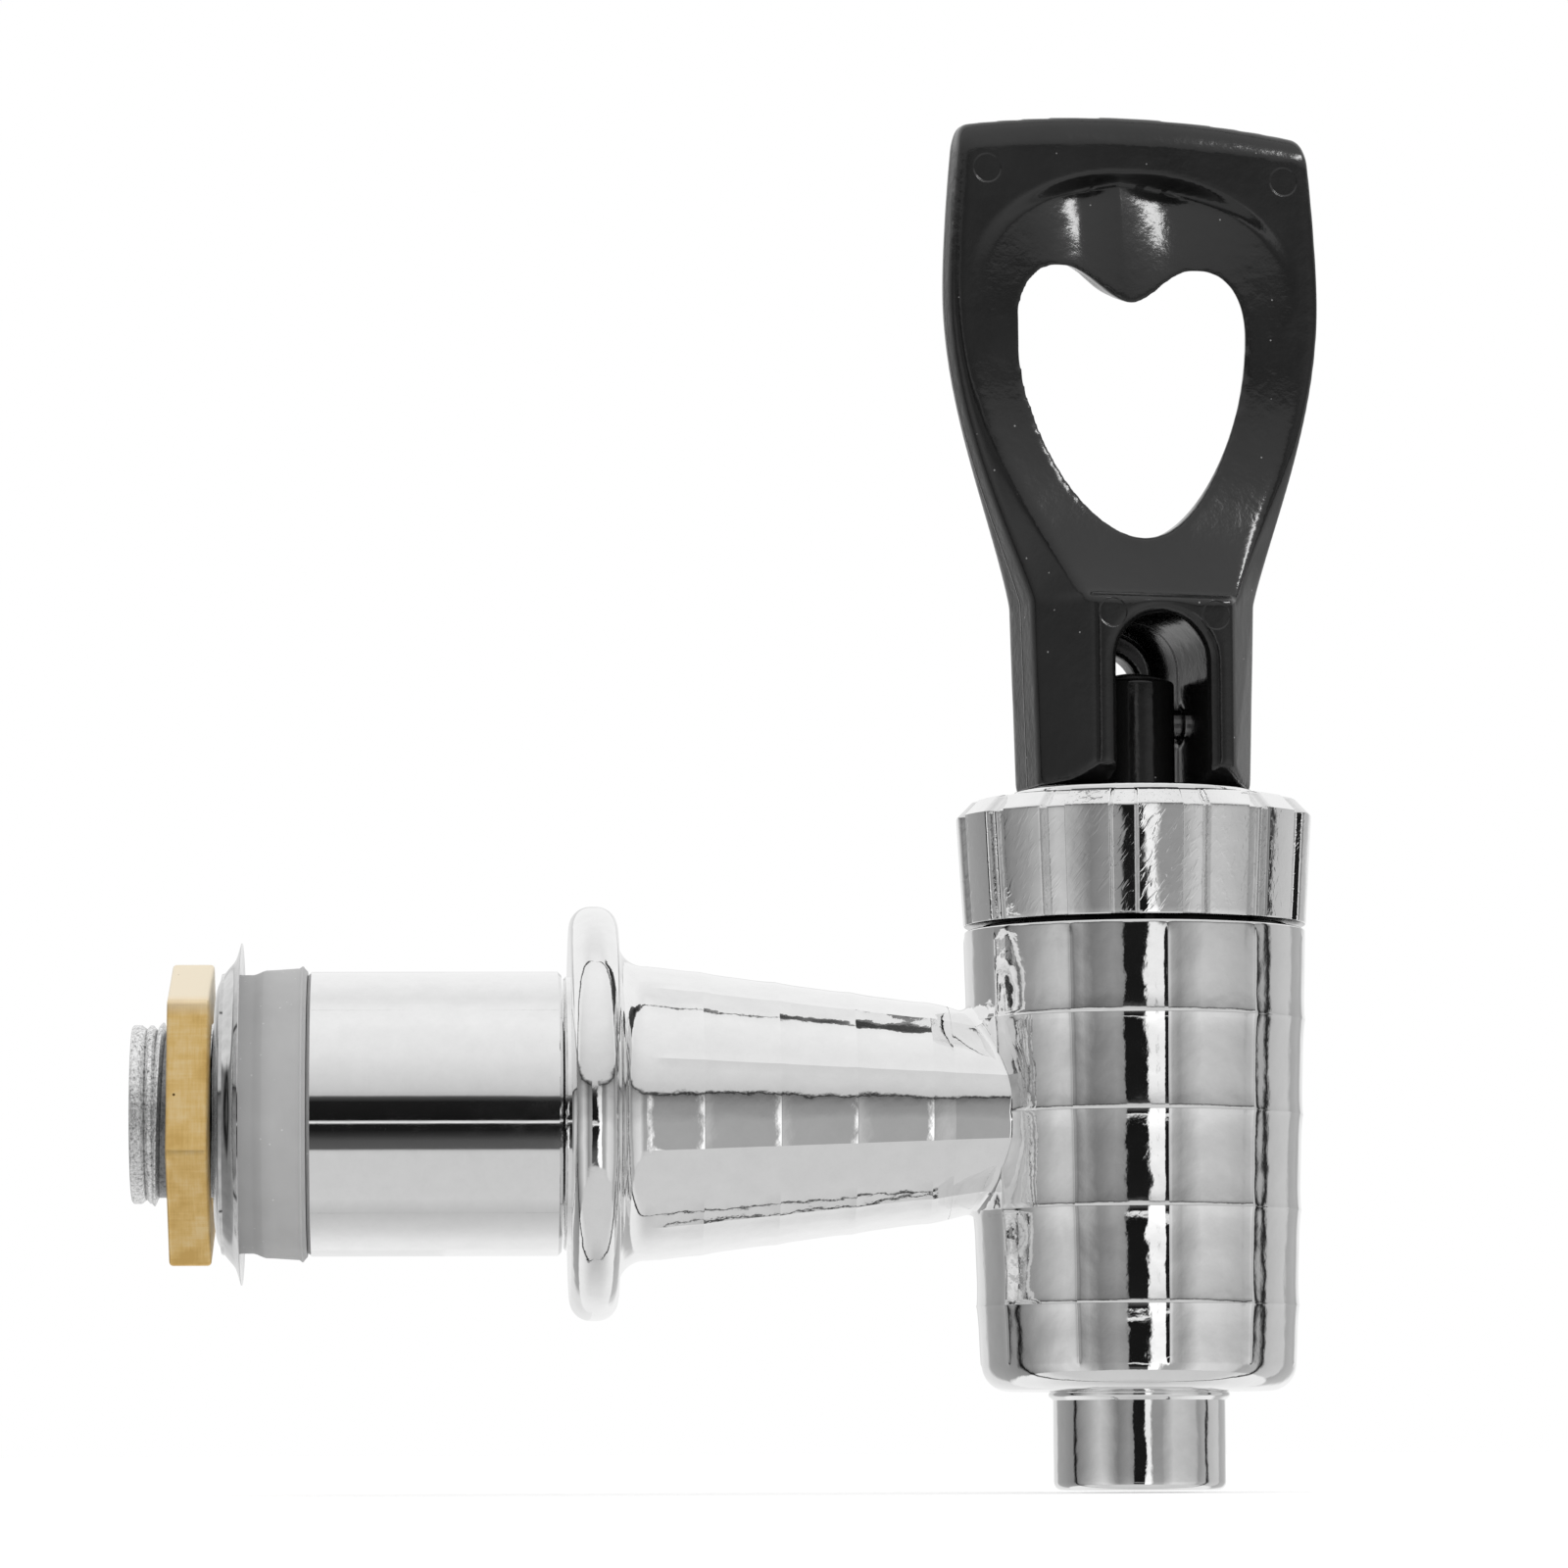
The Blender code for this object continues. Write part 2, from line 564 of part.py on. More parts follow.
def flute_angle(place):
    """Degrees of one facet corner from the middle of its flute, and its share of the depth."""
    half = BONNET_FLUTE_HALF_DEG
    wall = BONNET_FLUTE_WALL_DEG
    pitch = 360.0 / BONNET_FLUTES
    return (
        (0.0, 1.0), (half - wall, BONNET_FLUTE_EDGE_SHARE), (half, 0.0), (pitch / 2, 0.0),
        (pitch - half, 0.0), (pitch - half + wall, BONNET_FLUTE_EDGE_SHARE),
    )[place]


def make_bonnet():
    """Threaded cap with shallow flutes for the fingers, running out in its shoulder."""
    outline = bonnet_outline()
    facets = 6
    steps = BONNET_FLUTES * facets
    pitch = 2 * math.pi / BONNET_FLUTES
    fluted_above = CHAMBER_TOP_Z
    fluted_below = BONNET_SHOULDER_Z + 1.2 * BONNET_SHOULDER_EDGE
    bm = bmesh.new()
    verts = [bm.verts.new((r, 0.0, z)) for r, z in outline[:-1]]
    ends = verts[1:] + verts[:1]
    edges = [bm.edges.new(pair) for pair in zip(verts, ends)]
    bmesh.ops.spin(
        bm, geom=verts + edges, axis=(0, 0, 1), cent=(0, 0, 0), angle=2 * math.pi,
        steps=steps, use_merge=True,
    )
    for vert in bm.verts:
        radius = math.hypot(vert.co.x, vert.co.y)
        index = round(math.atan2(vert.co.y, vert.co.x) / (2 * math.pi) * steps)
        flute, place = divmod(index, facets)
        degrees, share = flute_angle(place)
        angle = flute * pitch + math.radians(degrees + BONNET_FLUTE_TURNED_DEG - 90)
        outer = radius > BONNET_SKIRT_RADIUS - BONNET_SHOULDER_EDGE
        if outer and fluted_above < vert.co.z < fluted_below:
            radius -= share * BONNET_FLUTE_DEPTH
        vert.co.x = radius * math.cos(angle)
        vert.co.y = radius * math.sin(angle)
    bmesh.ops.recalc_face_normals(bm, faces=bm.faces[:])
    mesh = bpy.data.meshes.new("bonnet")
    bm.to_mesh(mesh)
    bm.free()
    shade_round(mesh)
    return on_chamber_axis(add_object("bonnet", mesh, chrome))


def make_seat_cup():
    """Silicone cup: its plug closes the outlet and its rim is clamped under the bonnet."""
    flare_z = CUP_RIM_Z - CUP_FLARE_HEIGHT
    top_z = CUP_RIM_Z + CUP_RIM_THICKNESS
    bore = CUP_BORE_RADIUS
    outline = [
        (0.0, CUP_FACE_Z), (CUP_PLUG_RADIUS - CUP_WALL / 2, CUP_FACE_Z),
        (CUP_PLUG_RADIUS, CUP_FACE_Z + CUP_WALL / 2), (CUP_PLUG_RADIUS, flare_z),
        (CHAMBER_BORE_RADIUS - SLIP_GAP, CUP_RIM_Z - CUP_WALL / 2),
        (CHAMBER_BORE_RADIUS - SLIP_GAP, CUP_RIM_Z), (CUP_RIM_RADIUS, CUP_RIM_Z),
        (CUP_RIM_RADIUS, top_z), (bore + CUP_WALL, top_z), (bore, flare_z + CUP_WALL),
        (bore, CUP_FLOOR_Z), (0.0, CUP_FLOOR_Z),
    ]
    return on_chamber_axis(turned("seat_cup", outline, silicone, SMALL_STEPS * 3 // 2))


def make_stem():
    """Plunger: a foot in the seat cup, a round rod, and a domed head bored for the pin."""
    edge = STEM_FOOT_EDGE
    shoulder = STEM_DOME_RADIUS - math.sqrt(STEM_DOME_RADIUS**2 - STEM_RADIUS**2)
    start = math.degrees(math.acos(STEM_RADIUS / STEM_DOME_RADIUS))
    dome = quarter((0.0, STEM_TOP_Z - STEM_DOME_RADIUS), STEM_DOME_RADIUS, start, 90)
    dome[-1] = (0.0, STEM_TOP_Z)
    outline = [
        (0.0, STEM_FOOT_Z), (STEM_FOOT_RADIUS - edge, STEM_FOOT_Z),
        (STEM_FOOT_RADIUS, STEM_FOOT_Z + edge), (STEM_FOOT_RADIUS, STEM_FOOT_TOP_Z - edge),
        (STEM_FOOT_RADIUS - edge, STEM_FOOT_TOP_Z), (STEM_RADIUS, STEM_FOOT_TOP_Z),
        (STEM_RADIUS, STEM_TOP_Z - shoulder),
    ] + dome[1:]
    stem = on_chamber_axis(turned("stem", outline, black_plastic, SMALL_STEPS * 3 // 2))
    reach = STEM_RADIUS + CUT_PAST
    hole = pin_solid("stem_pin_hole", PIN_RADIUS + PIN_GAP, -reach, reach)
    boolean(stem, as_cutter(hole), "DIFFERENCE")
    return stem


def pin_solid(name, radius, start, end):
    """A round bar on the tilt axis, between two places across the handle."""
    outline = [(0.0, start), (radius, start), (radius, end), (0.0, end)]
    made = turned(name, outline, steel, SMALL_STEPS)
    made.matrix_world = handle_place() @ Matrix.Translation((0, 0, PIN_Z)) @ LATHE_ALONG_X
    return made


def handle_place():
    """World place of the handle's own axes at rest."""
    return Matrix.Translation(CHAMBER_AXIS) @ Matrix.Rotation(HANDLE_YAW, 4, "Z")


def make_spring():
    curve = bpy.data.curves.new("stem_spring", "CURVE")
    curve.dimensions = "3D"
    curve.bevel_depth = SPRING_WIRE_RADIUS
    curve.bevel_resolution = 2
    curve.use_fill_caps = True
    count = SPRING_TURNS * SPRING_POINTS_PER_TURN + 1
    spline = curve.splines.new("POLY")
    spline.points.add(count - 1)
    for i, point in enumerate(spline.points):
        angle = 2 * math.pi * i / SPRING_POINTS_PER_TURN
        height = SPRING_LOW_Z + (SPRING_HIGH_Z - SPRING_LOW_Z) * i / (count - 1)
        x = SPRING_RADIUS * math.cos(angle)
        y = SPRING_RADIUS * math.sin(angle)
        point.co = (x, y, height, 1.0)
    made = bpy.data.objects.new("stem_spring", curve)
    parts.objects.link(made)
    curve.materials.append(steel)
    return on_chamber_axis(made)


def make_spring_washer():
    bore = STEM_RADIUS + SLIP_GAP
    top = SPRING_WASHER_Z + SPRING_WASHER_THICKNESS
    outline = [
        (bore, SPRING_WASHER_Z), (SPRING_WASHER_RADIUS, SPRING_WASHER_Z),
        (SPRING_WASHER_RADIUS, top), (bore, top),
    ]
    return on_chamber_axis(turned("spring_washer", outline, steel, SMALL_STEPS * 3 // 2))


def handle_stations():
    """(height, half width, side half, face half, half depth) of the handle's eight-sided section.

    The side half is half the narrow side wall, and the face half is half the flat front.
    """
    neck = (NECK_HALF_WIDTH, NECK_SIDE_HALF, NECK_FACE_HALF, NECK_HALF_DEPTH)
    base = (neck[0] - NECK_BASE_TAPER, neck[1], neck[2], neck[3])
    wide = (
        PADDLE_HALF_WIDTH, PADDLE_SIDE_HALF, PADDLE_HALF_WIDTH - PADDLE_FACE_INSET,
        PADDLE_HALF_DEPTH,
    )
    stations = [(0.0, *base), (NECK_HEIGHT, *neck)]
    ledge = (neck[0], neck[1], neck[2] + LEDGE_DEPTH, neck[3] - LEDGE_DEPTH)
    stations.append((NECK_HEIGHT + LEDGE_DEPTH / 3, *ledge))
    swell = PADDLE_WIDEST_HEIGHT - NECK_HEIGHT
    for step in range(1, PADDLE_SWELL_STEPS + 1):
        share = (step / PADDLE_SWELL_STEPS) ** 1.3
        out = math.sin(share * math.pi / 2) ** 1.1
        thin = 1 - (1 - share) ** 3
        mix = (out, thin, out, thin)
        section = [a + (b - a) * m for a, b, m in zip(ledge, wide, mix)]
        stations.append((NECK_HEIGHT + swell * share, *section))
    crown = PADDLE_TOP_HEIGHT - PADDLE_TOP_CROWN
    top_round = PADDLE_TOP_ROUND
    shoulder = PADDLE_SHOULDER_INSET
    middle = (crown - top_round + PADDLE_WIDEST_HEIGHT) / 2
    stations.append((middle, *shrunk(wide, shoulder / 3, 0.0)))
    stations.append((crown - top_round, *shrunk(wide, shoulder, 0.0)))
    for turn_deg in (35, 65, 90):
        up = math.sin(math.radians(turn_deg))
        inwards = 1 - math.cos(math.radians(turn_deg))
        across = shoulder + (PADDLE_CORNER_INSET - shoulder) * inwards
        section = shrunk(wide, across, PADDLE_TOP_THINNING * inwards)
        stations.append((crown - top_round * (1 - up), *section))
    return stations


def shrunk(section, across, through):
    half, side, face, depth = section
    return (half - across, max(side - through, side / 4), face - across, depth - through)


def section_ring(half, side, face, depth):
    """Corners of one section, anticlockwise from the front right, five to each broad face."""
    back = [(face * share, depth) for share in (1.0, 0.6, 0.0, -0.6, -1.0)]
    front = [(-u, -v) for u, v in back]
    return [(half, -side), (half, side)] + back + [(-half, side), (-half, -side)] + front


def handle_blank():
    """Loft of the handle's sections, its top drawn up into a crown."""
    bm = bmesh.new()
    rings = []
    for height, *section in handle_stations():
        half = section[0]
        lift = PADDLE_TOP_CROWN * max(0.0, height - PADDLE_WIDEST_HEIGHT)
        lift /= PADDLE_TOP_HEIGHT - PADDLE_TOP_CROWN - PADDLE_WIDEST_HEIGHT
        ring = [
            bm.verts.new((u, v, height + lift * (1 - (u / half) ** 2)))
            for u, v in section_ring(*section)
        ]
        rings.append(ring)
    for low, high in zip(rings, rings[1:]):
        for i, vert in enumerate(low):
            j = (i + 1) % len(low)
            bm.faces.new((vert, low[j], high[j], high[i]))
    bm.faces.new(list(reversed(rings[0])))
    bm.faces.new(rings[-1])
    mesh = bpy.data.meshes.new("handle")
    bm.to_mesh(mesh)
    bm.free()
    shade_round(mesh, 20)
    return mesh


def extruded_outline(name, outline_maker, half_thickness):
    """A flat closed curve, filled and extruded both ways, as a mesh."""
    curve = bpy.data.curves.new(name, "CURVE")
    curve.dimensions = "2D"
    curve.fill_mode = "BOTH"
    curve.extrude = half_thickness
    outline_maker(curve)
    flat = bpy.data.objects.new(name, curve)
    parts.objects.link(flat)
    baked_mesh = mesh_of_curve(flat)
    bpy.data.objects.remove(flat, do_unlink=True)
    return add_object(name, baked_mesh, black_plastic)


def mesh_of_curve(flat):
    bpy.context.view_layer.update()
    graph = bpy.context.evaluated_depsgraph_get()
    mesh = bpy.data.meshes.new_from_object(flat.evaluated_get(graph))
    bm = bmesh.new()
    bm.from_mesh(mesh)
    bmesh.ops.remove_doubles(bm, verts=bm.verts[:], dist=0.000001)
    bmesh.ops.recalc_face_normals(bm, faces=bm.faces[:])
    bm.to_mesh(mesh)
    bm.free()
    return mesh


def bezier_loop(curve, knots, resolution):
    """Closed spline from knots of (point, handle back, handle on), as (u, z) pairs."""
    spline = curve.splines.new("BEZIER")
    spline.bezier_points.add(len(knots) - 1)
    spline.use_cyclic_u = True
    spline.resolution_u = resolution
    for knot, (place, back, ahead) in zip(spline.bezier_points, knots):
        knot.handle_left_type = "FREE"
        knot.handle_right_type = "FREE"
        knot.co = (*place, 0.0)
        knot.handle_left = (*back, 0.0)
        knot.handle_right = (*ahead, 0.0)


def heart_outline(curve):
    """Heart with round lobes, a soft notch between them and a round point below."""
    top = HEART_TOP_HEIGHT
    wide = HEART_HALF_WIDTH
    low = top - HEART_HEIGHT
    notch = top - HEART_NOTCH_SHARE * HEART_HEIGHT
    lobe = HEART_LOBE_SHARE * wide
    drop = HEART_WIDEST_SHARE * HEART_HEIGHT
    side_z = top - drop
    soft = HEART_NOTCH_ROUND
    lobe_pull = 0.7 * (wide - lobe)
    side_up = 0.58 * drop
    side_down = 0.48 * (side_z - low)
    point_pull = HEART_POINT_SHARE * wide
    right = [
        ((0.0, notch), (-soft, notch), (soft, notch)),
        ((lobe, top), (0.65 * lobe, top), (lobe + lobe_pull, top)),
        ((wide, side_z), (wide, side_z + side_up), (wide, side_z - side_down)),
        ((0.0, low), (point_pull, low), (-point_pull, low)),
    ]
    left = [((-p[0], p[1]), (-a[0], a[1]), (-b[0], b[1])) for p, b, a in right[2:0:-1]]
    bezier_loop(curve, right + left, 10)


def slot_outline(curve):
    """Arched slot for the plunger's head, open at the handle's base."""
    half = SLOT_HALF_WIDTH
    arch = SLOT_TOP_HEIGHT - half
    kappa = ARC_HANDLE_SHARE * half
    below = -CUT_PAST
    knots = [
        ((half, below), (half, below), (half, below)),
        ((half, arch), (half, arch), (half, arch + kappa)),
        ((0.0, arch + half), (kappa, arch + half), (-kappa, arch + half)),
        ((-half, arch), (-half, arch + kappa), (-half, arch)),
        ((-half, below), (-half, below), (-half, below)),
    ]
    bezier_loop(curve, knots, 6)


def heel_point(tilt):
    """Where the base meets the bonnet at one tilt, from the pin: equal tilts lift it equally."""
    reach = PIN_ABOVE_BASE + BASE_FLAT_HALF * tilt
    along = reach * math.sin(tilt) + BASE_FLAT_HALF * math.cos(tilt)
    down = -reach * math.cos(tilt) + BASE_FLAT_HALF * math.sin(tilt)
    return along, down


def heel_cutter(side):
    """Wedge under one edge of the base, so that the handle rolls up on a curved heel."""
    steps = 6
    limit = math.radians(TILT_LIMIT_DEG)
    heel = [heel_point(limit * i / steps) for i in range(steps + 1)]
    last_v, last_z = heel[-1]
    end_slope = math.tan(limit)
    out_v = NECK_HALF_DEPTH + CUT_PAST
    heel.append((out_v, last_z + (out_v - last_v) * end_slope))
    heel.append((out_v, -PIN_ABOVE_BASE - CUT_PAST))
    heel.append((BASE_FLAT_HALF, -PIN_ABOVE_BASE - CUT_PAST))
    bm = bmesh.new()
    half = NECK_HALF_WIDTH + CUT_PAST
    face = bm.faces.new([bm.verts.new((-half, side * v, PIN_ABOVE_BASE + z)) for v, z in heel])
    grown = bmesh.ops.extrude_face_region(bm, geom=[face])
    moved = [item for item in grown["geom"] if isinstance(item, bmesh.types.BMVert)]
    bmesh.ops.translate(bm, verts=moved, vec=(2 * half, 0, 0))
    bmesh.ops.recalc_face_normals(bm, faces=bm.faces[:])
    name = "heel_front" if side < 0 else "heel_back"
    mesh = bpy.data.meshes.new(name)
    bm.to_mesh(mesh)
    bm.free()
    return as_cutter(add_object(name, mesh, black_plastic))


def scoop_cutter(side):
    """Shallow dish for the fingertips, over the heart's top."""
    bm = bmesh.new()
    bmesh.ops.create_uvsphere(bm, u_segments=40, v_segments=24, radius=1.0)
    # An ellipsoid that dips a fifth of its half depth is cut at 3/5 of its half width.
    deep = SCOOP_DEPTH * 5
    wide = SCOOP_HALF_WIDTH * 5 / 3
    bmesh.ops.scale(bm, verts=bm.verts[:], vec=(wide, deep, SCOOP_HALF_HEIGHT * 5 / 3))
    name = "scoop_front" if side < 0 else "scoop_back"
    mesh = bpy.data.meshes.new(name)
    centre_v = side * (PADDLE_HALF_DEPTH + deep - SCOOP_DEPTH)
    bmesh.ops.translate(bm, verts=bm.verts[:], vec=(0, centre_v, SCOOP_CENTRE_HEIGHT))
    bm.to_mesh(mesh)
    bm.free()
    return as_cutter(add_object(name, mesh, black_plastic))


def stand_up(made):
    """Turns an outline drawn flat, as across and up, into the handle's own upright plane."""
    made.data.transform(Matrix.Rotation(math.pi / 2, 4, "X"))
    return made


def make_handle():
    handle = add_object("handle", handle_blank(), black_plastic)
    through = NECK_HALF_DEPTH + CUT_PAST
    heart = as_cutter(stand_up(extruded_outline("heart_hole", heart_outline, through)))
    slot = as_cutter(stand_up(extruded_outline("stem_slot", slot_outline, through)))
    cuts = [scoop_cutter(-1), scoop_cutter(1), heart, slot, heel_cutter(-1), heel_cutter(1)]
    for cut in cuts:
        boolean(handle, cut, "DIFFERENCE")
    place = handle_place() @ Matrix.Translation((0, 0, HANDLE_BASE_Z))
    for piece in cuts + [handle]:
        piece.matrix_world = place
    blind = -(NECK_HALF_WIDTH - PIN_BLIND_WALL)
    hole = pin_solid("handle_pin_hole", PIN_RADIUS + PIN_GAP, blind, NECK_HALF_WIDTH + CUT_PAST)
    boolean(handle, as_cutter(hole), "DIFFERENCE")
    return handle


def make_pin():
    blind = -(NECK_HALF_WIDTH - PIN_BLIND_WALL)
    flush = NECK_HALF_WIDTH - NECK_BASE_TAPER - 2 * SEAT_GAP
    return pin_solid("handle_pin", PIN_RADIUS, blind + SEAT_GAP, flush)


clear_scene()
parts = collection_named("dispenser_spigot")
cutters = collection_named("cutters")
cutters.hide_render = True

chrome = finish("chrome plate", (0.80, 0.80, 0.82), 0.06, 1.0)
zinc = finish("bare zinc alloy", (0.52, 0.52, 0.53), 0.42, 1.0)
steel = finish("polished stainless steel", (0.66, 0.66, 0.68), 0.18, 1.0)
brass = finish("machined brass", (0.62, 0.43, 0.17), 0.30, 1.0)
silicone = finish("grey silicone", (0.36, 0.36, 0.37), 0.55, 0.0)
black_plastic = finish("glossy black plastic", (0.012, 0.012, 0.013), 0.12, 0.0)

make_body()
make_shank()
make_sleeve()
make_gasket()
make_cup_washer()
make_nut()
make_bonnet()
make_seat_cup()
make_stem()
make_spring()
make_spring_washer()
make_handle()
make_pin()
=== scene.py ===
"""Looks of the lever spigot: plated body on a threaded shank, black lever over a lifting plunger.

Metres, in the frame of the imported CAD. The file follows the spigot as it is put together.
"""

import math

import bmesh
import bpy
from mathutils import Matrix, Vector
from mathutils.geometry import interpolate_bezier


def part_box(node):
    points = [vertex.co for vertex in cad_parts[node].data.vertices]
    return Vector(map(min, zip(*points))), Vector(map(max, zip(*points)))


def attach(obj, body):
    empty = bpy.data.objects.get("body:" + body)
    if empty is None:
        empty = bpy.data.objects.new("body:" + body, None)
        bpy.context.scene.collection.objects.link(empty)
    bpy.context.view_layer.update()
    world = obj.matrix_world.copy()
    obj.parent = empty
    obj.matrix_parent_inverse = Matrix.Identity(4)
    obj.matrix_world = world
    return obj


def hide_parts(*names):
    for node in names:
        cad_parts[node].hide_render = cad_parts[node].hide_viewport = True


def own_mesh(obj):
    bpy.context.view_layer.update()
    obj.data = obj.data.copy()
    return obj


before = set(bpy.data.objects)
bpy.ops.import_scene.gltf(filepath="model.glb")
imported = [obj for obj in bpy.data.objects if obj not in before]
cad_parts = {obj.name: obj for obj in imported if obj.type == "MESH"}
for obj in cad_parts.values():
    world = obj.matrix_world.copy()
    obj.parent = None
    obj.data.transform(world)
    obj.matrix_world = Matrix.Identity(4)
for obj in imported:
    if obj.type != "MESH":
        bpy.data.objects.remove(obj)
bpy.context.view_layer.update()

# Body casting
# One zinc die casting, bright nickel and chrome plated: a round flange, a tapering arm and the
# outlet chamber with its spout. Fine raised lines, left by the die, divide arm and chamber.

FLANGE_RADIUS = 0.01829
FLANGE_THICKNESS = 0.0043
ARM_ROOT_RADIUS = 0.01305
ARM_ROOT_X = 0.0065
ARM_END_RADIUS = 0.00905
ARM_END_X = 0.0360
ARM_BORE_RADIUS = 0.0050
ARM_LINES = 10
ARM_FIRST_LINE = math.radians(17.0)
ARM_RINGS = [0.0116 + 0.0067 * i for i in range(4)]
ARM_RING = (0.0022, 0.00013, 0.0)  # half width, height, and the height of its crest
ARM_FOLLOWS_X = 0.0335  # past here the arm's rows follow the chamber's wall
ARM_INSIDE_X = 0.0388
CHAMBER_X = 0.0503
CHAMBER_TOP_Z = 0.01610
CHAMBER_TOP_RADIUS = 0.0151
CHAMBER_BOTTOM_Z = -0.0246
CHAMBER_BOTTOM_RADIUS = 0.0138
CHAMBER_LINES = 11
CHAMBER_FIRST_LINE = math.radians(275.2)
CHAMBER_RINGS = [0.00804 - 0.00839 * i for i in range(4)]
CHAMBER_RING = (0.0026, 0.00015, 0.00003)
JUNCTION_FILLET = 0.0010
SPOUT_RADIUS = 0.0076
SPOUT_TIP_Z = -0.0333
LINE_HEIGHT = 0.00007
LINE_HALF_WIDTH = 0.0010
LINE_STEPS = 30  # facets from one lengthwise line to the next
LINE_AT_RADIUS = 0.0125  # the radius for which the facets beside a line are spaced
CREST_HALF_WIDTH = 0.00024
CELL_SWELL = 0.000035
MERGE = 0.0000005  # points closer than this are one


def eased(share):
    """A share from 0 to 1 with a soft start and end."""
    return 3 * share**2 - 2 * share**3


def bead(distance, half_width, height, crest_height):
    """Height of a raised line at a distance from its middle: long soft feet and a fine crest."""
    foot = 1 - min(abs(distance) / half_width, 1.0)
    crest = 1 - min(abs(distance) / CREST_HALF_WIDTH, 1.0)
    return height * foot**2 + crest_height * eased(crest)


def arc(centre, radius, start_deg, end_deg, steps):
    """Points of an arc in a half section, from one angle to another."""
    span = math.radians(end_deg - start_deg)
    first = math.radians(start_deg)
    angles = [first + span * step / steps for step in range(steps + 1)]
    return [(centre[0] + radius * math.cos(a), centre[1] + radius * math.sin(a)) for a in angles]


def spaced(start, end, steps):
    """Points of a straight line in a half section, without its last point."""
    shares = [step / steps for step in range(steps)]
    return [tuple(a + (b - a) * share for a, b in zip(start, end)) for share in shares]


def turned(outline, steps, axis="Z", closed=True):
    """A bmesh turned about Z or X from (radius, place along the axis) points."""
    bm = bmesh.new()
    along_x = axis == "X"
    verts = [bm.verts.new((z, 0.0, r) if along_x else (r, 0.0, z)) for r, z in outline]
    edges = [bm.edges.new(pair) for pair in zip(verts, verts[1:])]
    if closed:
        edges.append(bm.edges.new((verts[-1], verts[0])))
    bmesh.ops.spin(
        bm, geom=verts + edges, cent=(0, 0, 0), axis=(1, 0, 0) if along_x else (0, 0, 1),
        angle=2 * math.pi, steps=steps, use_merge=True,
    )
    bmesh.ops.remove_doubles(bm, verts=bm.verts[:], dist=MERGE)
    bmesh.ops.recalc_face_normals(bm, faces=bm.faces[:])
    return bm


def with_rings(start, end, ring_places, ring, along):
    """Points of a side with raised rings, very slightly swollen between them."""
    (r0, p0), (r1, p1) = start, end
    coarse = [p0 + (p1 - p0) * i / along for i in range(along)]
    half_width = ring[0]
    reach = 7
    offsets = [half_width * k * abs(k) / reach**2 for k in range(-reach, reach + 1)]
    fine = [middle + offset for middle in ring_places for offset in offsets]
    clear = [p for p in coarse if all(abs(p - m) > 1.02 * half_width for m in ring_places)]
    marks = sorted([p0, p1, *ring_places])
    points = []
    for place in sorted(clear + fine, reverse=p1 < p0):
        low = max(mark for mark in marks[:-1] if mark <= place)
        high = marks[marks.index(low) + 1]
        share = (place - low) / (high - low)
        radius = r0 + (r1 - r0) * (place - p0) / (p1 - p0)
        radius += CELL_SWELL * 4 * share * (1 - share)
        radius += max(bead(place - middle, *ring) for middle in ring_places)
        points.append((radius, place))
    return points


def nearest_repeat(angle, repeats, steps):
    """Which repeat round the axis an angle belongs to, and its step from that one's middle."""
    index = round(angle / (2 * math.pi) * repeats * steps)
    repeat, step = divmod(index + steps // 2, steps)
    return repeat, step - steps // 2


def raise_lines(bm, lines, first, axis, on_side, crest_height):
    """Draws the facets of a turned face together at each lengthwise line, and raises the line."""
    pitch = 2 * math.pi / lines
    near = LINE_STEPS // 2 - 4
    narrow = 1.1 * LINE_HALF_WIDTH / LINE_AT_RADIUS
    for vert in bm.verts:
        across, up = (vert.co.y, vert.co.z) if axis == "X" else (vert.co.x, vert.co.y)
        radius = math.hypot(across, up)
        line, step = nearest_repeat(math.atan2(up, across), lines, LINE_STEPS)
        if abs(step) <= near:
            angle = step * abs(step) / near**2 * narrow
        else:
            rest = (abs(step) - near) / (LINE_STEPS / 2 - near)
            angle = math.copysign(narrow + rest * (pitch / 2 - narrow), step)
        if on_side(vert.co):
            radius += bead(angle * radius, LINE_HALF_WIDTH, LINE_HEIGHT, crest_height)
        turn = line * pitch + angle + first
        across = radius * math.cos(turn)
        up = radius * math.sin(turn)
        vert.co = (vert.co.x, across, up) if axis == "X" else (across, up, vert.co.z)


def arm_radius(x):
    """Radius of the arm's straight taper."""
    slope = (ARM_END_RADIUS - ARM_ROOT_RADIUS) / (ARM_END_X - ARM_ROOT_X)
    return ARM_ROOT_RADIUS + slope * (x - ARM_ROOT_X)


def chamber_radius(z):
    """Radius of the chamber's straight taper."""
    slope = (CHAMBER_TOP_RADIUS - CHAMBER_BOTTOM_RADIUS) / (CHAMBER_TOP_Z - CHAMBER_BOTTOM_Z)
    return CHAMBER_BOTTOM_RADIUS + slope * (z - CHAMBER_BOTTOM_Z)


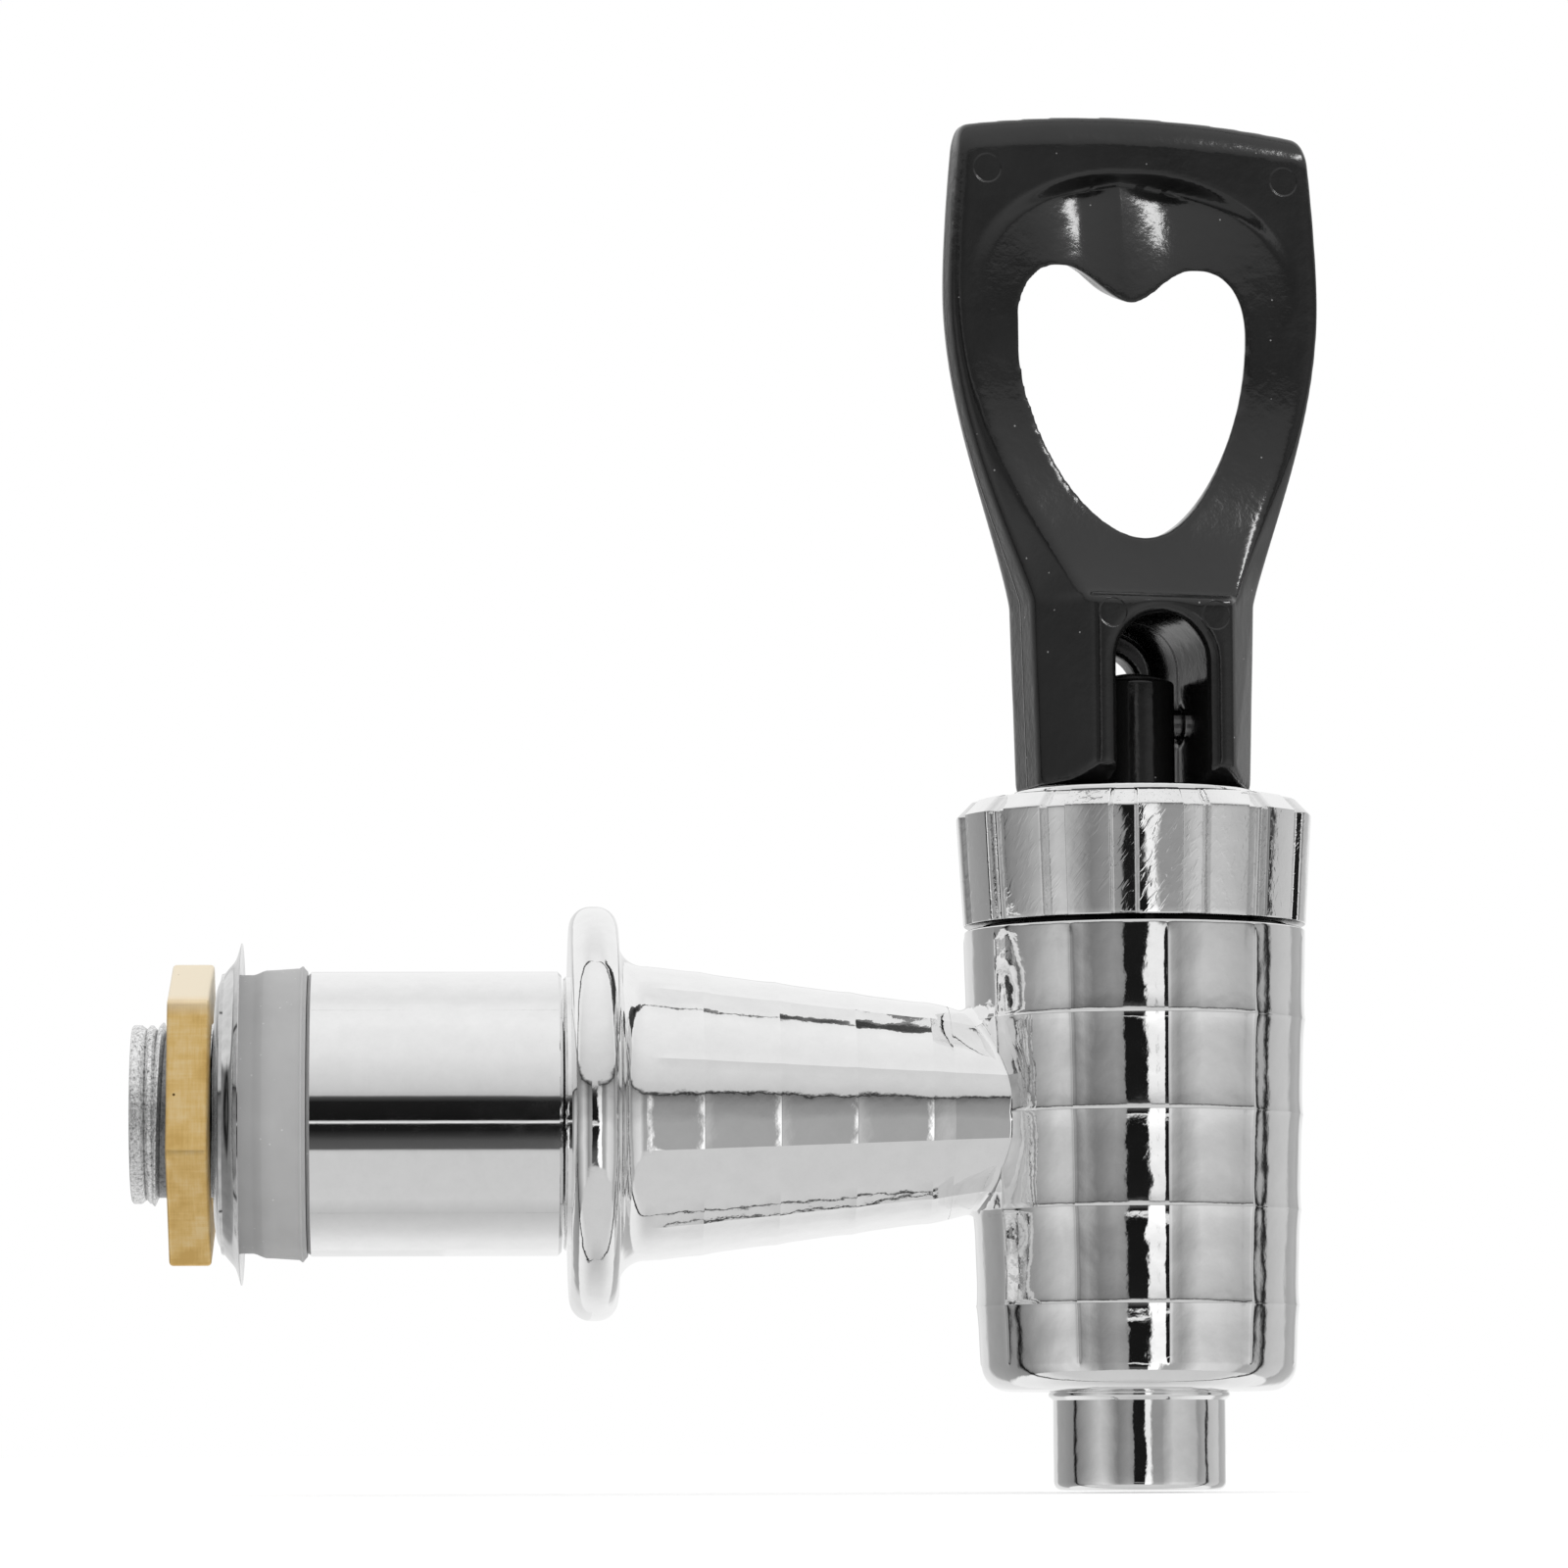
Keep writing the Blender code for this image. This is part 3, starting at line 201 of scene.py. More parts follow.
def meet_chamber(vert):
    """Carries a row of the arm's end up to the chamber's round wall, flaring in a fillet."""
    x, y, z = vert.co
    radius = math.hypot(y, z)
    grown = 1 + JUNCTION_FILLET / radius
    wall = chamber_radius(z * grown)
    wall += max(bead(z * grown - ring, *CHAMBER_RING) for ring in CHAMBER_RINGS)
    wall_x = CHAMBER_X - math.sqrt(wall**2 - (y * grown) ** 2)
    share = (x - ARM_FOLLOWS_X) / (ARM_INSIDE_X - ARM_FOLLOWS_X)
    vert.co.x = ARM_FOLLOWS_X + share * (wall_x + 0.0003 - ARM_FOLLOWS_X)
    left = max(wall_x - vert.co.x, 0.0)
    if radius > ARM_BORE_RADIUS + 0.001 and left < JUNCTION_FILLET:
        flare = JUNCTION_FILLET - math.sqrt(JUNCTION_FILLET**2 - (JUNCTION_FILLET - left) ** 2)
        vert.co.y *= 1 + flare / radius
        vert.co.z *= 1 + flare / radius


def make_arm():
    """Flange and arm, open at the back for the shank and run a little into the chamber."""
    boss = 0.0121
    boss_x = -0.0005
    socket = 0.0082
    socket_x = 0.0090
    rim = 0.0019
    fillet = 0.0024
    fillet_x = FLANGE_THICKNESS + fillet
    taper_x = fillet_x + 0.0002
    inside = (arm_radius(ARM_INSIDE_X), ARM_INSIDE_X)
    follows = (arm_radius(ARM_FOLLOWS_X), ARM_FOLLOWS_X)
    root = arm_radius(taper_x)
    outline = (
        [(socket, boss_x), (boss - 0.0002, boss_x), (boss, boss_x + 0.0002), (boss, 0.0)]
        + arc((FLANGE_RADIUS - rim, rim), rim, -90, 0, 14)
        + arc((FLANGE_RADIUS - rim, FLANGE_THICKNESS - rim), rim, 0, 90, 14)
        + arc((root + fillet, fillet_x), fillet, 270, 184, 14)
        + with_rings((root, taper_x), follows, ARM_RINGS, ARM_RING, 50)
        + spaced(follows, inside, 24)
        + [inside, (ARM_BORE_RADIUS, ARM_INSIDE_X), (ARM_BORE_RADIUS, socket_x)]
        + [(socket, socket_x)]
    )
    bm = turned(outline, ARM_LINES * LINE_STEPS, "X")

    def on_side(place):
        lined = fillet_x + 0.0008 < place.x < ARM_INSIDE_X
        return lined and math.hypot(place.y, place.z) > 0.007

    raise_lines(bm, ARM_LINES, ARM_FIRST_LINE, "X", on_side, 0.0)
    for vert in bm.verts:
        if vert.co.x > ARM_FOLLOWS_X:
            meet_chamber(vert)
    return bm


def make_chamber():
    """Outlet chamber with its neck for the bonnet above, and seat, bore and spout below."""
    neck = 0.0132
    neck_top = 0.0232
    well = 0.0114
    rim = 0.0002
    drop = 0.0024
    collar = 0.0079
    bore = 0.0050
    seat = 0.0074
    seat_z = -0.0143
    well_z = -0.0190
    tip = 0.00075
    side_z = CHAMBER_BOTTOM_Z + drop
    low_side = chamber_radius(side_z)
    outline = (
        [(well, neck_top), (neck, neck_top), (neck, CHAMBER_TOP_Z)]
        + [(CHAMBER_TOP_RADIUS - 0.0003, CHAMBER_TOP_Z)]
        + arc((CHAMBER_TOP_RADIUS - rim, CHAMBER_TOP_Z - rim), rim, 70, 10, 4)
        + with_rings(
            (CHAMBER_TOP_RADIUS, CHAMBER_TOP_Z - 2 * rim), (low_side, side_z), CHAMBER_RINGS,
            CHAMBER_RING, 70,
        )
        + arc((low_side - drop, side_z), drop, 0, -88, 14)
        + [(collar + 0.0002, CHAMBER_BOTTOM_Z)]
        + arc((collar - 0.0002, CHAMBER_BOTTOM_Z - 0.0003), 0.0003, 60, -60, 6)
        + [(SPOUT_RADIUS, CHAMBER_BOTTOM_Z - 0.0008)]
        + spaced((SPOUT_RADIUS, CHAMBER_BOTTOM_Z - 0.0012), (SPOUT_RADIUS, SPOUT_TIP_Z + tip), 6)
        + arc((SPOUT_RADIUS - tip, SPOUT_TIP_Z + tip), tip, 0, -90, 10)
        + [(bore + 0.0002, SPOUT_TIP_Z), (bore, SPOUT_TIP_Z + 0.0002), (bore, seat_z)]
        + [(seat, seat_z), (seat, well_z), (well, well_z)]
    )
    bm = turned(outline, CHAMBER_LINES * LINE_STEPS)

    def on_side(place):
        lined = side_z < place.z < CHAMBER_TOP_Z - 0.0006
        return lined and math.hypot(place.x, place.y) > 0.0125

    raise_lines(bm, CHAMBER_LINES, CHAMBER_FIRST_LINE, "Z", on_side, 0.000022)
    bmesh.ops.translate(bm, verts=bm.verts[:], vec=(CHAMBER_X, 0, 0))
    return bm


def joined(first, second):
    """Adds one bmesh to another and frees it."""
    mesh = bpy.data.meshes.new("joining")
    second.to_mesh(mesh)
    second.free()
    first.from_mesh(mesh)
    bpy.data.meshes.remove(mesh)
    return first


def as_object(name, bm):
    mesh = bpy.data.meshes.new(name)
    bm.to_mesh(mesh)
    bm.free()
    made = bpy.data.objects.new(name, mesh)
    bpy.context.scene.collection.objects.link(made)
    return made


def piece(name, bm, material, sharp_deg=35):
    """The finished bmesh as an object at the origin, shaded smooth but for its sharp edges."""
    made = as_object(name, bm)
    made.data.shade_smooth()
    made.data.set_sharp_from_angle(angle=math.radians(sharp_deg))
    made.data.materials.append(material)
    return made


def linear(code):
    """Linear colour of an sRGB hex code."""
    parts = [int(code[i : i + 2], 16) / 255 for i in (1, 3, 5)]
    return [p / 12.92 if p <= 0.04045 else ((p + 0.055) / 1.055) ** 2.4 for p in parts] + [1.0]


def every(mm):
    """Scale of a pattern whose features are this many millimetres apart."""
    return 1000 / mm


BLEND = {"data_type": "RGBA"}
MULTIPLY = {"data_type": "RGBA", "blend_type": "MULTIPLY"}


def node(tree, kind, out=None, stops=(), **given):
    """Adds a shader node with its settings and links, and gives the output named, or its first.

    Settings are in small letters. An input is a value or a socket, by its name, or by its number
    where names repeat. Stops are the places and colours of a ramp.
    """
    made = tree.nodes.new("ShaderNode" + kind)
    for key in [key for key in given if key[0].islower()]:
        setattr(made, key, given.pop(key))
    if stops:
        band = made.color_ramp
        while len(band.elements) < len(stops):
            band.elements.new(0.5)
        for element, (place, code) in zip(band.elements, stops):
            element.position = place
            element.color = linear(code)
    for key, value in given.items():
        name = key.replace("_", " ")
        if key[1:].isdigit():
            place = made.inputs[int(key[1:])]
        else:
            place = next(item for item in made.inputs if item.enabled and item.name == name)
        if isinstance(value, bpy.types.NodeSocket):
            tree.links.new(value, place)
        else:
            place.default_value = value
    results = (item for item in made.outputs if item.enabled and out in (None, item.name))
    return next(results, None)


def new_material(name):
    """An empty material, its node tree, and the object's own coordinates in metres."""
    material = bpy.data.materials.new(name)
    material.use_nodes = True
    tree = material.node_tree
    tree.nodes.clear()
    return material, tree, node(tree, "TexCoord", out="Object")


# The joint under the bonnet, painted near black as painted shade in the crevice under the bonnet's
# skirt. It stays on the chamber.
JOINT_SHADE_Z = 0.01633
JOINT_SHADE_HALF_HEIGHT = 0.00023
JOINT_SHADE_REACH = 0.018


def chrome_plate(name, waviness, strokes, haziness):
    """Bright chrome over a cast or turned face: wavy near mirror, with buffing strokes and haze.

    The strokes are drawn ten times coarser than real ones, so that they show.
    """
    material, tree, place = new_material(name)
    swell = node(tree, "TexNoise", Vector=place, Scale=every(4.35), Detail=2.0, Roughness=0.45)
    swelled = node(tree, "Bump", Height=swell, Strength=1.0, Distance=waviness)
    ripple = node(tree, "TexNoise", Vector=place, Scale=every(0.769), Detail=2.0)
    rippled = node(
        tree, "Bump", Height=ripple, Strength=1.0, Distance=waviness / 14, Normal=swelled,
    )
    slanted = node(
        tree, "Mapping", vector_type="TEXTURE", Vector=place, Rotation=(0.3, 0.65, 0.0),
        Scale=(1.0, 1.0, 6.0),
    )
    hairs = node(tree, "TexNoise", Vector=slanted, Scale=every(0.476), Detail=2.0, Distortion=0.6)
    buffed = node(tree, "MapRange", Value=hairs, From_Min=0.52, From_Max=0.66)
    stroked = node(tree, "Bump", Height=buffed, Strength=1.0, Distance=strokes, Normal=rippled)
    haze = node(tree, "TexNoise", Vector=place, Scale=every(2.38), Detail=5.0, Roughness=0.7)
    gloss = node(
        tree, "MapRange", Value=haze, From_Min=0.35, From_Max=0.75, To_Min=0.02,
        To_Max=0.02 + haziness,
    )
    plate = node(tree, "ValToRGB", stops=[(0.3, "#f4f4f4"), (0.7, "#eeeeee")], Fac=haze)
    parts = node(tree, "SeparateXYZ", Vector=place).node.outputs
    # Painted shade: a thin band at the joint under the bonnet, on the chamber only.
    level = node(
        tree, "Math", operation="COMPARE", _0=parts["Z"], _1=JOINT_SHADE_Z, _2=JOINT_SHADE_HALF_HEIGHT,
    )
    on_chamber = node(
        tree, "Math", operation="COMPARE", _0=parts["X"], _1=CHAMBER_X, _2=JOINT_SHADE_REACH,
    )
    painted_joint_shade = node(tree, "Math", operation="MULTIPLY", _0=level, _1=on_chamber)
    # Painted shade: the joint's band is coloured near black.
    colour = node(tree, "Mix", **BLEND, Factor=painted_joint_shade, A=plate, B=linear("#161616"))
    shader = node(
        tree, "BsdfPrincipled", Base_Color=colour, Metallic=1.0, Roughness=gloss, Normal=stroked,
    )
    node(tree, "OutputMaterial", Surface=shader)
    return material


cast_chrome = chrome_plate("chrome plate over zinc casting", 0.00010, 0.0000004, 0.05)
body = piece("body_casting", joined(make_chamber(), make_arm()), cast_chrome)
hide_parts("faucet_body")
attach(body, "root")

# Bonnet
# A plated zinc cap screwed over the chamber's neck. Fifteen shallow flutes give the fingers a
# grip, and a low lip round its hole carries the lever.

BONNET_FLUTES = 15
BONNET_FLUTE_STEPS = 30
BONNET_FLUTE_DEPTH = 0.00095
BONNET_FLUTE_HALF = math.radians(4.9)
BONNET_FIRST_FLUTE = math.radians(-98.9)
BONNET_WALL = math.radians(1.5)
BONNET_SKIRT_Z = 0.01652
BONNET_SHOULDER_Z = 0.0262
BONNET_TOP_Z = 0.0284


def bounded(share):
    return min(max(share, 0.0), 1.0)


def press_flutes(bm):
    """Draws the facets together at the walls of each flute, and sinks the flute."""
    pitch = 2 * math.pi / BONNET_FLUTES
    marks = [
        (0, 0.0), (4, BONNET_FLUTE_HALF - BONNET_WALL), (9, BONNET_FLUTE_HALF),
        (11, BONNET_FLUTE_HALF + 0.01), (BONNET_FLUTE_STEPS // 2, pitch / 2),
    ]
    for vert in bm.verts:
        x, y, z = vert.co
        radius = math.hypot(x, y)
        flute, step = nearest_repeat(math.atan2(y, x), BONNET_FLUTES, BONNET_FLUTE_STEPS)
        for (first, low), (last, high) in zip(marks, marks[1:]):
            if first <= abs(step) <= last:
                from_middle = low + (high - low) * (abs(step) - first) / (last - first)
        if radius > 0.0132 and z > BONNET_SKIRT_Z + 0.0001:
            wall = bounded((BONNET_FLUTE_HALF - from_middle) / BONNET_WALL)
            top = bounded((BONNET_SHOULDER_Z + 0.0017 - z) / 0.0005)
            radius -= BONNET_FLUTE_DEPTH * eased(wall) * eased(top)
        turn = flute * pitch + math.copysign(from_middle, step) + BONNET_FIRST_FLUTE
        vert.co.x = radius * math.cos(turn) + CHAMBER_X
        vert.co.y = radius * math.sin(turn)


def make_bonnet():
    """Cap with a rounded lip, a chamfered shoulder and a skirt that narrows downwards."""
    hole = 0.00405
    lip = 0.0108
    shoulder = 0.01575
    skirt = 0.0152
    inner = 0.0135
    roof_z = 0.0250
    outline = (
        [(hole, BONNET_TOP_Z), (lip - 0.0002, BONNET_TOP_Z)]
        + arc((lip - 0.0003, BONNET_TOP_Z - 0.0003), 0.0003, 90, 0, 5)
        + [(lip + 0.0001, BONNET_TOP_Z - 0.00062)]
        + spaced(
            (lip + 0.0002, BONNET_TOP_Z - 0.0005), (shoulder - 0.0014, BONNET_SHOULDER_Z + 0.0014),
            8,
        )
        + spaced(
            (shoulder - 0.0013, BONNET_SHOULDER_Z + 0.0013),
            (shoulder - 0.000225, BONNET_SHOULDER_Z + 0.0002), 8,
        )
        + arc((shoulder - 0.0002, BONNET_SHOULDER_Z - 0.0001), 0.0002, 45, 5, 4)
        + spaced((shoulder, BONNET_SHOULDER_Z - 0.0003), (skirt, BONNET_SKIRT_Z + 0.0003), 30)
        + arc((skirt - 0.0002, BONNET_SKIRT_Z + 0.0002), 0.0002, 0, -90, 4)
        + [(inner, BONNET_SKIRT_Z), (inner, roof_z), (hole, roof_z)]
    )
    bm = turned(outline, BONNET_FLUTES * BONNET_FLUTE_STEPS)
    press_flutes(bm)
    return bm


bonnet_chrome = chrome_plate("chrome plate over turned zinc", 0.00008, 0.000005, 0.10)
bonnet = piece("fluted_bonnet", make_bonnet(), bonnet_chrome)
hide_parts("bonnet")
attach(bonnet, "root")

# Threaded shank
# Die-cast zinc tube, screwed into the body and left rough. Its end is a grainy plateau with one
# shallow groove, and behind it the cut thread shows one sharp bright crest beside the nut.

SHANK_TIP_X = -0.0385
SHANK_END_X = 0.0080
SHANK_SHOWN_X = -0.0300  # the thread is left off past the washer, where nothing shows it
SHANK_ROOT_RADIUS = 0.00735
SHANK_PLATEAU_RADIUS = 0.00788
SHANK_CREST_RADIUS = 0.0081
SHANK_BORE_RADIUS = 0.0050
THREAD_PITCH = 0.0015


def make_thread(start_x, end_x):
    """The thread's ridge: one closed section carried round the shank and along it."""
    steps = 96
    sunk = SHANK_ROOT_RADIUS - 0.0002
    section = [
        (-0.00050, sunk), (-0.00050, SHANK_ROOT_RADIUS), (-0.00024, SHANK_CREST_RADIUS - 0.00022),
        (-0.00004, SHANK_CREST_RADIUS), (0.00006, SHANK_CREST_RADIUS),
        (0.00040, SHANK_ROOT_RADIUS), (0.00040, sunk),
    ]
    bm = bmesh.new()
    verts = [bm.verts.new((start_x + x, 0.0, -r)) for x, r in section]
    edges = [bm.edges.new(pair) for pair in zip(verts, verts[1:] + verts[:1])]
    turns = (end_x - start_x) / THREAD_PITCH
    bmesh.ops.spin(
        bm, geom=verts + edges, cent=(0, 0, 0), axis=(-1, 0, 0), angle=2 * math.pi * turns,
        steps=round(steps * turns), dvec=(THREAD_PITCH / steps, 0, 0),
    )
    bmesh.ops.remove_doubles(bm, verts=bm.verts[:], dist=MERGE)
    bmesh.ops.holes_fill(bm, edges=bm.edges[:], sides=8)
    bmesh.ops.recalc_face_normals(bm, faces=bm.faces[:])
    return bm


def make_shank():
    """Tube with a broken edge, the plateau and its groove, then the thread's root."""
    tip = SHANK_TIP_X
    flat = SHANK_PLATEAU_RADIUS
    edge = 0.0003
    outline = (
        [(SHANK_BORE_RADIUS + edge, tip), (flat - edge, tip)]
        + arc((flat - edge, tip + edge), edge, -90, 0, 4)
        + spaced((flat, tip + 0.0004), (flat, tip + 0.0010), 4)
        + [(flat - 0.00020, tip + 0.00115), (flat - 0.00036, tip + 0.0013)]
        + [(flat - 0.00020, tip + 0.00145), (flat - 0.00002, tip + 0.0016)]
        + spaced((flat - 0.00002, tip + 0.0017), (flat - 0.00004, tip + 0.0020), 3)
        + [(SHANK_ROOT_RADIUS, tip + 0.0023)]
        + spaced((SHANK_ROOT_RADIUS, tip + 0.0025), (SHANK_ROOT_RADIUS, SHANK_END_X), 40)
        + [(SHANK_ROOT_RADIUS, SHANK_END_X), (SHANK_BORE_RADIUS, SHANK_END_X)]
        + [(SHANK_BORE_RADIUS, tip + edge)]
    )
    tube = turned(outline, 144, "X")
    return joined(tube, make_thread(tip + 0.0020, SHANK_SHOWN_X))


def rough_zinc():
    """Zinc as it left the die: pale, grainy, its thread's root darkened by dirt and painted shade,
    its crest plain.
    """
    material, tree, place = new_material("raw die-cast zinc")
    grain = node(tree, "TexNoise", Vector=place, Scale=every(0.303), Detail=4.0, Roughness=0.7)
    lumps = node(tree, "TexNoise", Vector=place, Scale=every(0.769), Detail=2.0, Distortion=1.2)
    lumped = node(tree, "Bump", Height=lumps, Strength=1.0, Distance=0.00007)
    grained = node(tree, "Bump", Height=grain, Strength=1.0, Distance=0.00006, Normal=lumped)
    colour = node(
        tree, "ValToRGB", stops=[(0.34, "#8a8a8a"), (0.44, "#d8d8d8"), (0.60, "#f8f8f8")],
        Fac=grain,
    )
    parts = node(tree, "SeparateXYZ", Vector=place).node.outputs
    out = node(tree, "CombineXYZ", Y=parts["Y"], Z=parts["Z"])
    radius = node(tree, "VectorMath", operation="LENGTH", _0=out)
    # The thread's root is darkened, partly as dirt and partly as painted shade in the groove. The
    # crest keeps the plain colour.
    crest = node(
        tree, "MapRange", Value=radius, From_Min=SHANK_ROOT_RADIUS + 0.00003,
        From_Max=SHANK_ROOT_RADIUS + 0.00030,
    )
    dirt_and_painted_shade = node(tree, "Mix", **MULTIPLY, Factor=1.0, A=colour, B=linear("#909090"))
    root_dirt_and_shade = node(tree, "Mix", **BLEND, Factor=crest, A=dirt_and_painted_shade, B=colour)
    shader = node(
        tree, "BsdfPrincipled", Base_Color=root_dirt_and_shade, Metallic=1.0, Roughness=0.26, Normal=grained,
    )
    node(tree, "OutputMaterial", Surface=shader)
    return material


shank = piece("threaded_tube", make_shank(), rough_zinc())
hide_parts("threaded_shank")
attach(shank, "root")

# Spacer sleeve
# A short length of plated tube that takes up the wall of the tank, turned off square at both
# ends. Handling has left it a shallow dent near the flange and a few fine scratches.

SLEEVE_RADIUS = 0.01255
DENT_X = -0.0022
DENT_LENGTH = 0.0021
DENT_ABOVE_DEG = 16.0
DENT_DEG = 9.0
DENT_DEPTH = 0.000018


def make_sleeve():
    """Tube with chamfered ends, and the dent pressed into its front."""
    edge = 0.0003
    start_x = -0.0007
    end_x = -0.0230
    bore = 0.0112
    outline = (
        [(bore, start_x), (SLEEVE_RADIUS - edge, start_x), (SLEEVE_RADIUS, start_x - edge)]
        + spaced((SLEEVE_RADIUS, start_x - 2 * edge), (SLEEVE_RADIUS, end_x + 2 * edge), 110)
        + [(SLEEVE_RADIUS, end_x + edge), (SLEEVE_RADIUS - edge, end_x), (bore, end_x)]
    )
    bm = turned(outline, 240, "X")
    for vert in bm.verts:
        radius = math.hypot(vert.co.y, vert.co.z)
        if radius > SLEEVE_RADIUS - 0.0001:
            along = (vert.co.x - DENT_X) / DENT_LENGTH
            above = (math.degrees(math.atan2(vert.co.z, -vert.co.y)) - DENT_ABOVE_DEG) / DENT_DEG
            dent = DENT_DEPTH * math.exp(-(along**2) - above**2)
            vert.co.y *= 1 - dent / radius
            vert.co.z *= 1 - dent / radius
    return bm


tube_chrome = chrome_plate("chrome plate over drawn tube", 0.000004, 0.0000001, 0.04)
sleeve = piece("wall_sleeve", make_sleeve(), tube_chrome)
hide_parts("spacer_sleeve")
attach(sleeve, "root")

# Tank gasket
# Moulded grey silicone ring, a little slimmer where it sits in the cup of the washer. The face
# is satin with stray specks of talc.

GASKET_END_X = -0.02306
GASKET_STEP_X = -0.0270
GASKET_FAR_X = -0.0304


def make_gasket():
    """Ring with a fine moulding flash at its wide end and a soft step to its slim end."""
    end = GASKET_END_X
    step = GASKET_STEP_X
    far = GASKET_FAR_X
    bore = 0.0083
    outline = (
        [(bore, end), (0.0126, end), (0.01292, end - 0.0003)]
        + arc((0.01293, end - 0.00042), 0.00012, 60, -60, 4)
        + [(0.01286, end - 0.0007), (0.01272, step + 0.0012), (0.01268, step + 0.0003)]
        + [(0.01258, step), (0.01236, step - 0.0005), (0.01228, step - 0.0008)]
        + [(0.01228, far + 0.0016), (0.01234, far + 0.0010), (0.01220, far + 0.0003)]
        + [(0.01200, far), (bore, far)]
    )
    return turned(outline, 144, "X")


def grey_silicone():
    """Filled silicone rubber: soft satin grey with pale specks and a faint texture.

    The texture is drawn coarser than the real one.
    """
    material, tree, place = new_material("moulded grey silicone")
    cloud = node(tree, "TexNoise", Vector=place, Scale=every(3.85), Detail=3.0)
    base = node(tree, "ValToRGB", stops=[(0.3, "#c2c2c2"), (0.7, "#cacaca")], Fac=cloud)
    specks = node(tree, "TexVoronoi", feature="F1", Vector=place, Scale=every(1.11))
    speck = node(
        tree, "ValToRGB", stops=[(0.0, "#ffffff"), (0.07, "#ffffff"), (0.09, "#000000")],
        Fac=specks,
    )
    colour = node(tree, "Mix", **BLEND, Factor=speck, A=base, B=linear("#dcdcdc"))
    fine = node(tree, "TexNoise", Vector=place, Scale=every(0.222), Detail=2.0)
    bumped = node(tree, "Bump", Height=fine, Strength=0.6, Distance=0.000006)
    shader = node(
        tree, "BsdfPrincipled", Base_Color=colour, Roughness=0.52, Normal=bumped, IOR=1.41,
    )
    node(tree, "OutputMaterial", Surface=shader)
    return material


gasket_silicone = grey_silicone()
gasket = piece("silicone_gasket", make_gasket(), gasket_silicone)
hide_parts("tank_gasket")
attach(gasket, "root")

# Cup washer
# A thin pressed disc of polished stainless steel. Its hub lies against the nut, its wall opens
# over the slim end of the gasket, and a sharp sheared rim turns outwards.

WASHER_BACK_X = -0.0312
WASHER_SHEET = 0.0004


def make_washer():
    """Pressed section: flat hub, round wall and flared rim, thinned where the sheet is drawn."""
    hole = 0.0083
    outside = [
        (hole, 0.0), (0.0092, 0.0), (0.0101, 0.00004), (0.0108, 0.00013), (0.01135, 0.00028),
        (0.01175, 0.00046), (0.01210, 0.00066), (0.01245, 0.00090), (0.01278, 0.00116),
        (0.01308, 0.00142), (0.01335, 0.00166), (0.01362, 0.00184), (0.01400, 0.00198),
        (0.01450, 0.00214), (0.01508, 0.00230),
    ]
    inside = [
        (0.01508, 0.00238), (0.01450, 0.00226), (0.01395, 0.00216), (0.01350, 0.00212),
        (0.01315, 0.00196), (0.01270, 0.00150), (0.01250, 0.00110), (0.01235, 0.00060),
        (0.01180, WASHER_SHEET + 0.0001), (0.0112, WASHER_SHEET), (hole, WASHER_SHEET),
    ]
    return turned([(r, WASHER_BACK_X + x) for r, x in outside + inside], 240, "X")


def polished_steel():
    """Stainless sheet after bright polishing: a mirror with slow waves and dust."""
    material, tree, place = new_material("polished stainless sheet")
    wave = node(tree, "TexNoise", Vector=place, Scale=every(4.17), Detail=1.0)
    waved = node(tree, "Bump", Height=wave, Strength=1.0, Distance=0.000006)
    dust = node(tree, "TexNoise", Vector=place, Scale=every(1.11), Detail=4.0)
    gloss = node(
        tree, "MapRange", Value=dust, From_Min=0.4, From_Max=0.75, To_Min=0.05, To_Max=0.15,
    )
    colour = node(tree, "ValToRGB", stops=[(0.35, "#d2d2d2"), (0.7, "#c2c2c2")], Fac=dust)
    shader = node(
        tree, "BsdfPrincipled", Base_Color=colour, Metallic=1.0, Roughness=gloss, Normal=waved,
    )
    node(tree, "OutputMaterial", Surface=shader)
    return material


washer = piece("pressed_washer", make_washer(), polished_steel())
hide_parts("cup_washer")
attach(washer, "washer")

# Lock nut
# Hexagon sawn from drawn brass bar and tapped. The flats keep the bar's drawn skin with its
# fine lines and small pits, and the sawn ends are just broken at the corners.

NUT_MIDDLE_X = -0.03325
NUT_HALF = 0.00185
NUT_FLAT = 0.0120
NUT_CORNER = 0.01374
NUT_FIRST_CORNER = math.radians(197)


def make_nut():
    """A round nut with broken edges, drawn out to six flats with slightly blunt corners."""
    edge = 0.00035
    bore = 0.0083
    lead = 0.0004
    outline = (
        [(bore + lead, -NUT_HALF), (NUT_FLAT - edge, -NUT_HALF)]
        + arc((NUT_FLAT - edge, -NUT_HALF + edge), edge, -75, -15, 4)
        + spaced((NUT_FLAT, -NUT_HALF + edge), (NUT_FLAT, NUT_HALF - edge), 12)
        + [(NUT_FLAT, NUT_HALF - edge)]
        + arc((NUT_FLAT - edge, NUT_HALF - edge), edge, 15, 75, 4)
        + [(NUT_FLAT - edge, NUT_HALF), (bore + lead, NUT_HALF)]
        + [(bore, NUT_HALF - lead), (bore, -NUT_HALF + lead)]
    )
    bm = turned([(r, x + NUT_MIDDLE_X) for r, x in outline], 720, "X")
    for vert in bm.verts:
        radius = math.hypot(vert.co.y, vert.co.z)
        if radius < NUT_FLAT - 0.0010:
            continue
        angle = math.atan2(vert.co.z, vert.co.y)
        from_flat = (angle - NUT_FIRST_CORNER) % (math.pi / 3) - math.pi / 6
        reach = min(NUT_FLAT / math.cos(from_flat), NUT_CORNER)
        stretch = (reach - NUT_FLAT + radius) / radius
        vert.co.y *= stretch
        vert.co.z *= stretch
    return bm


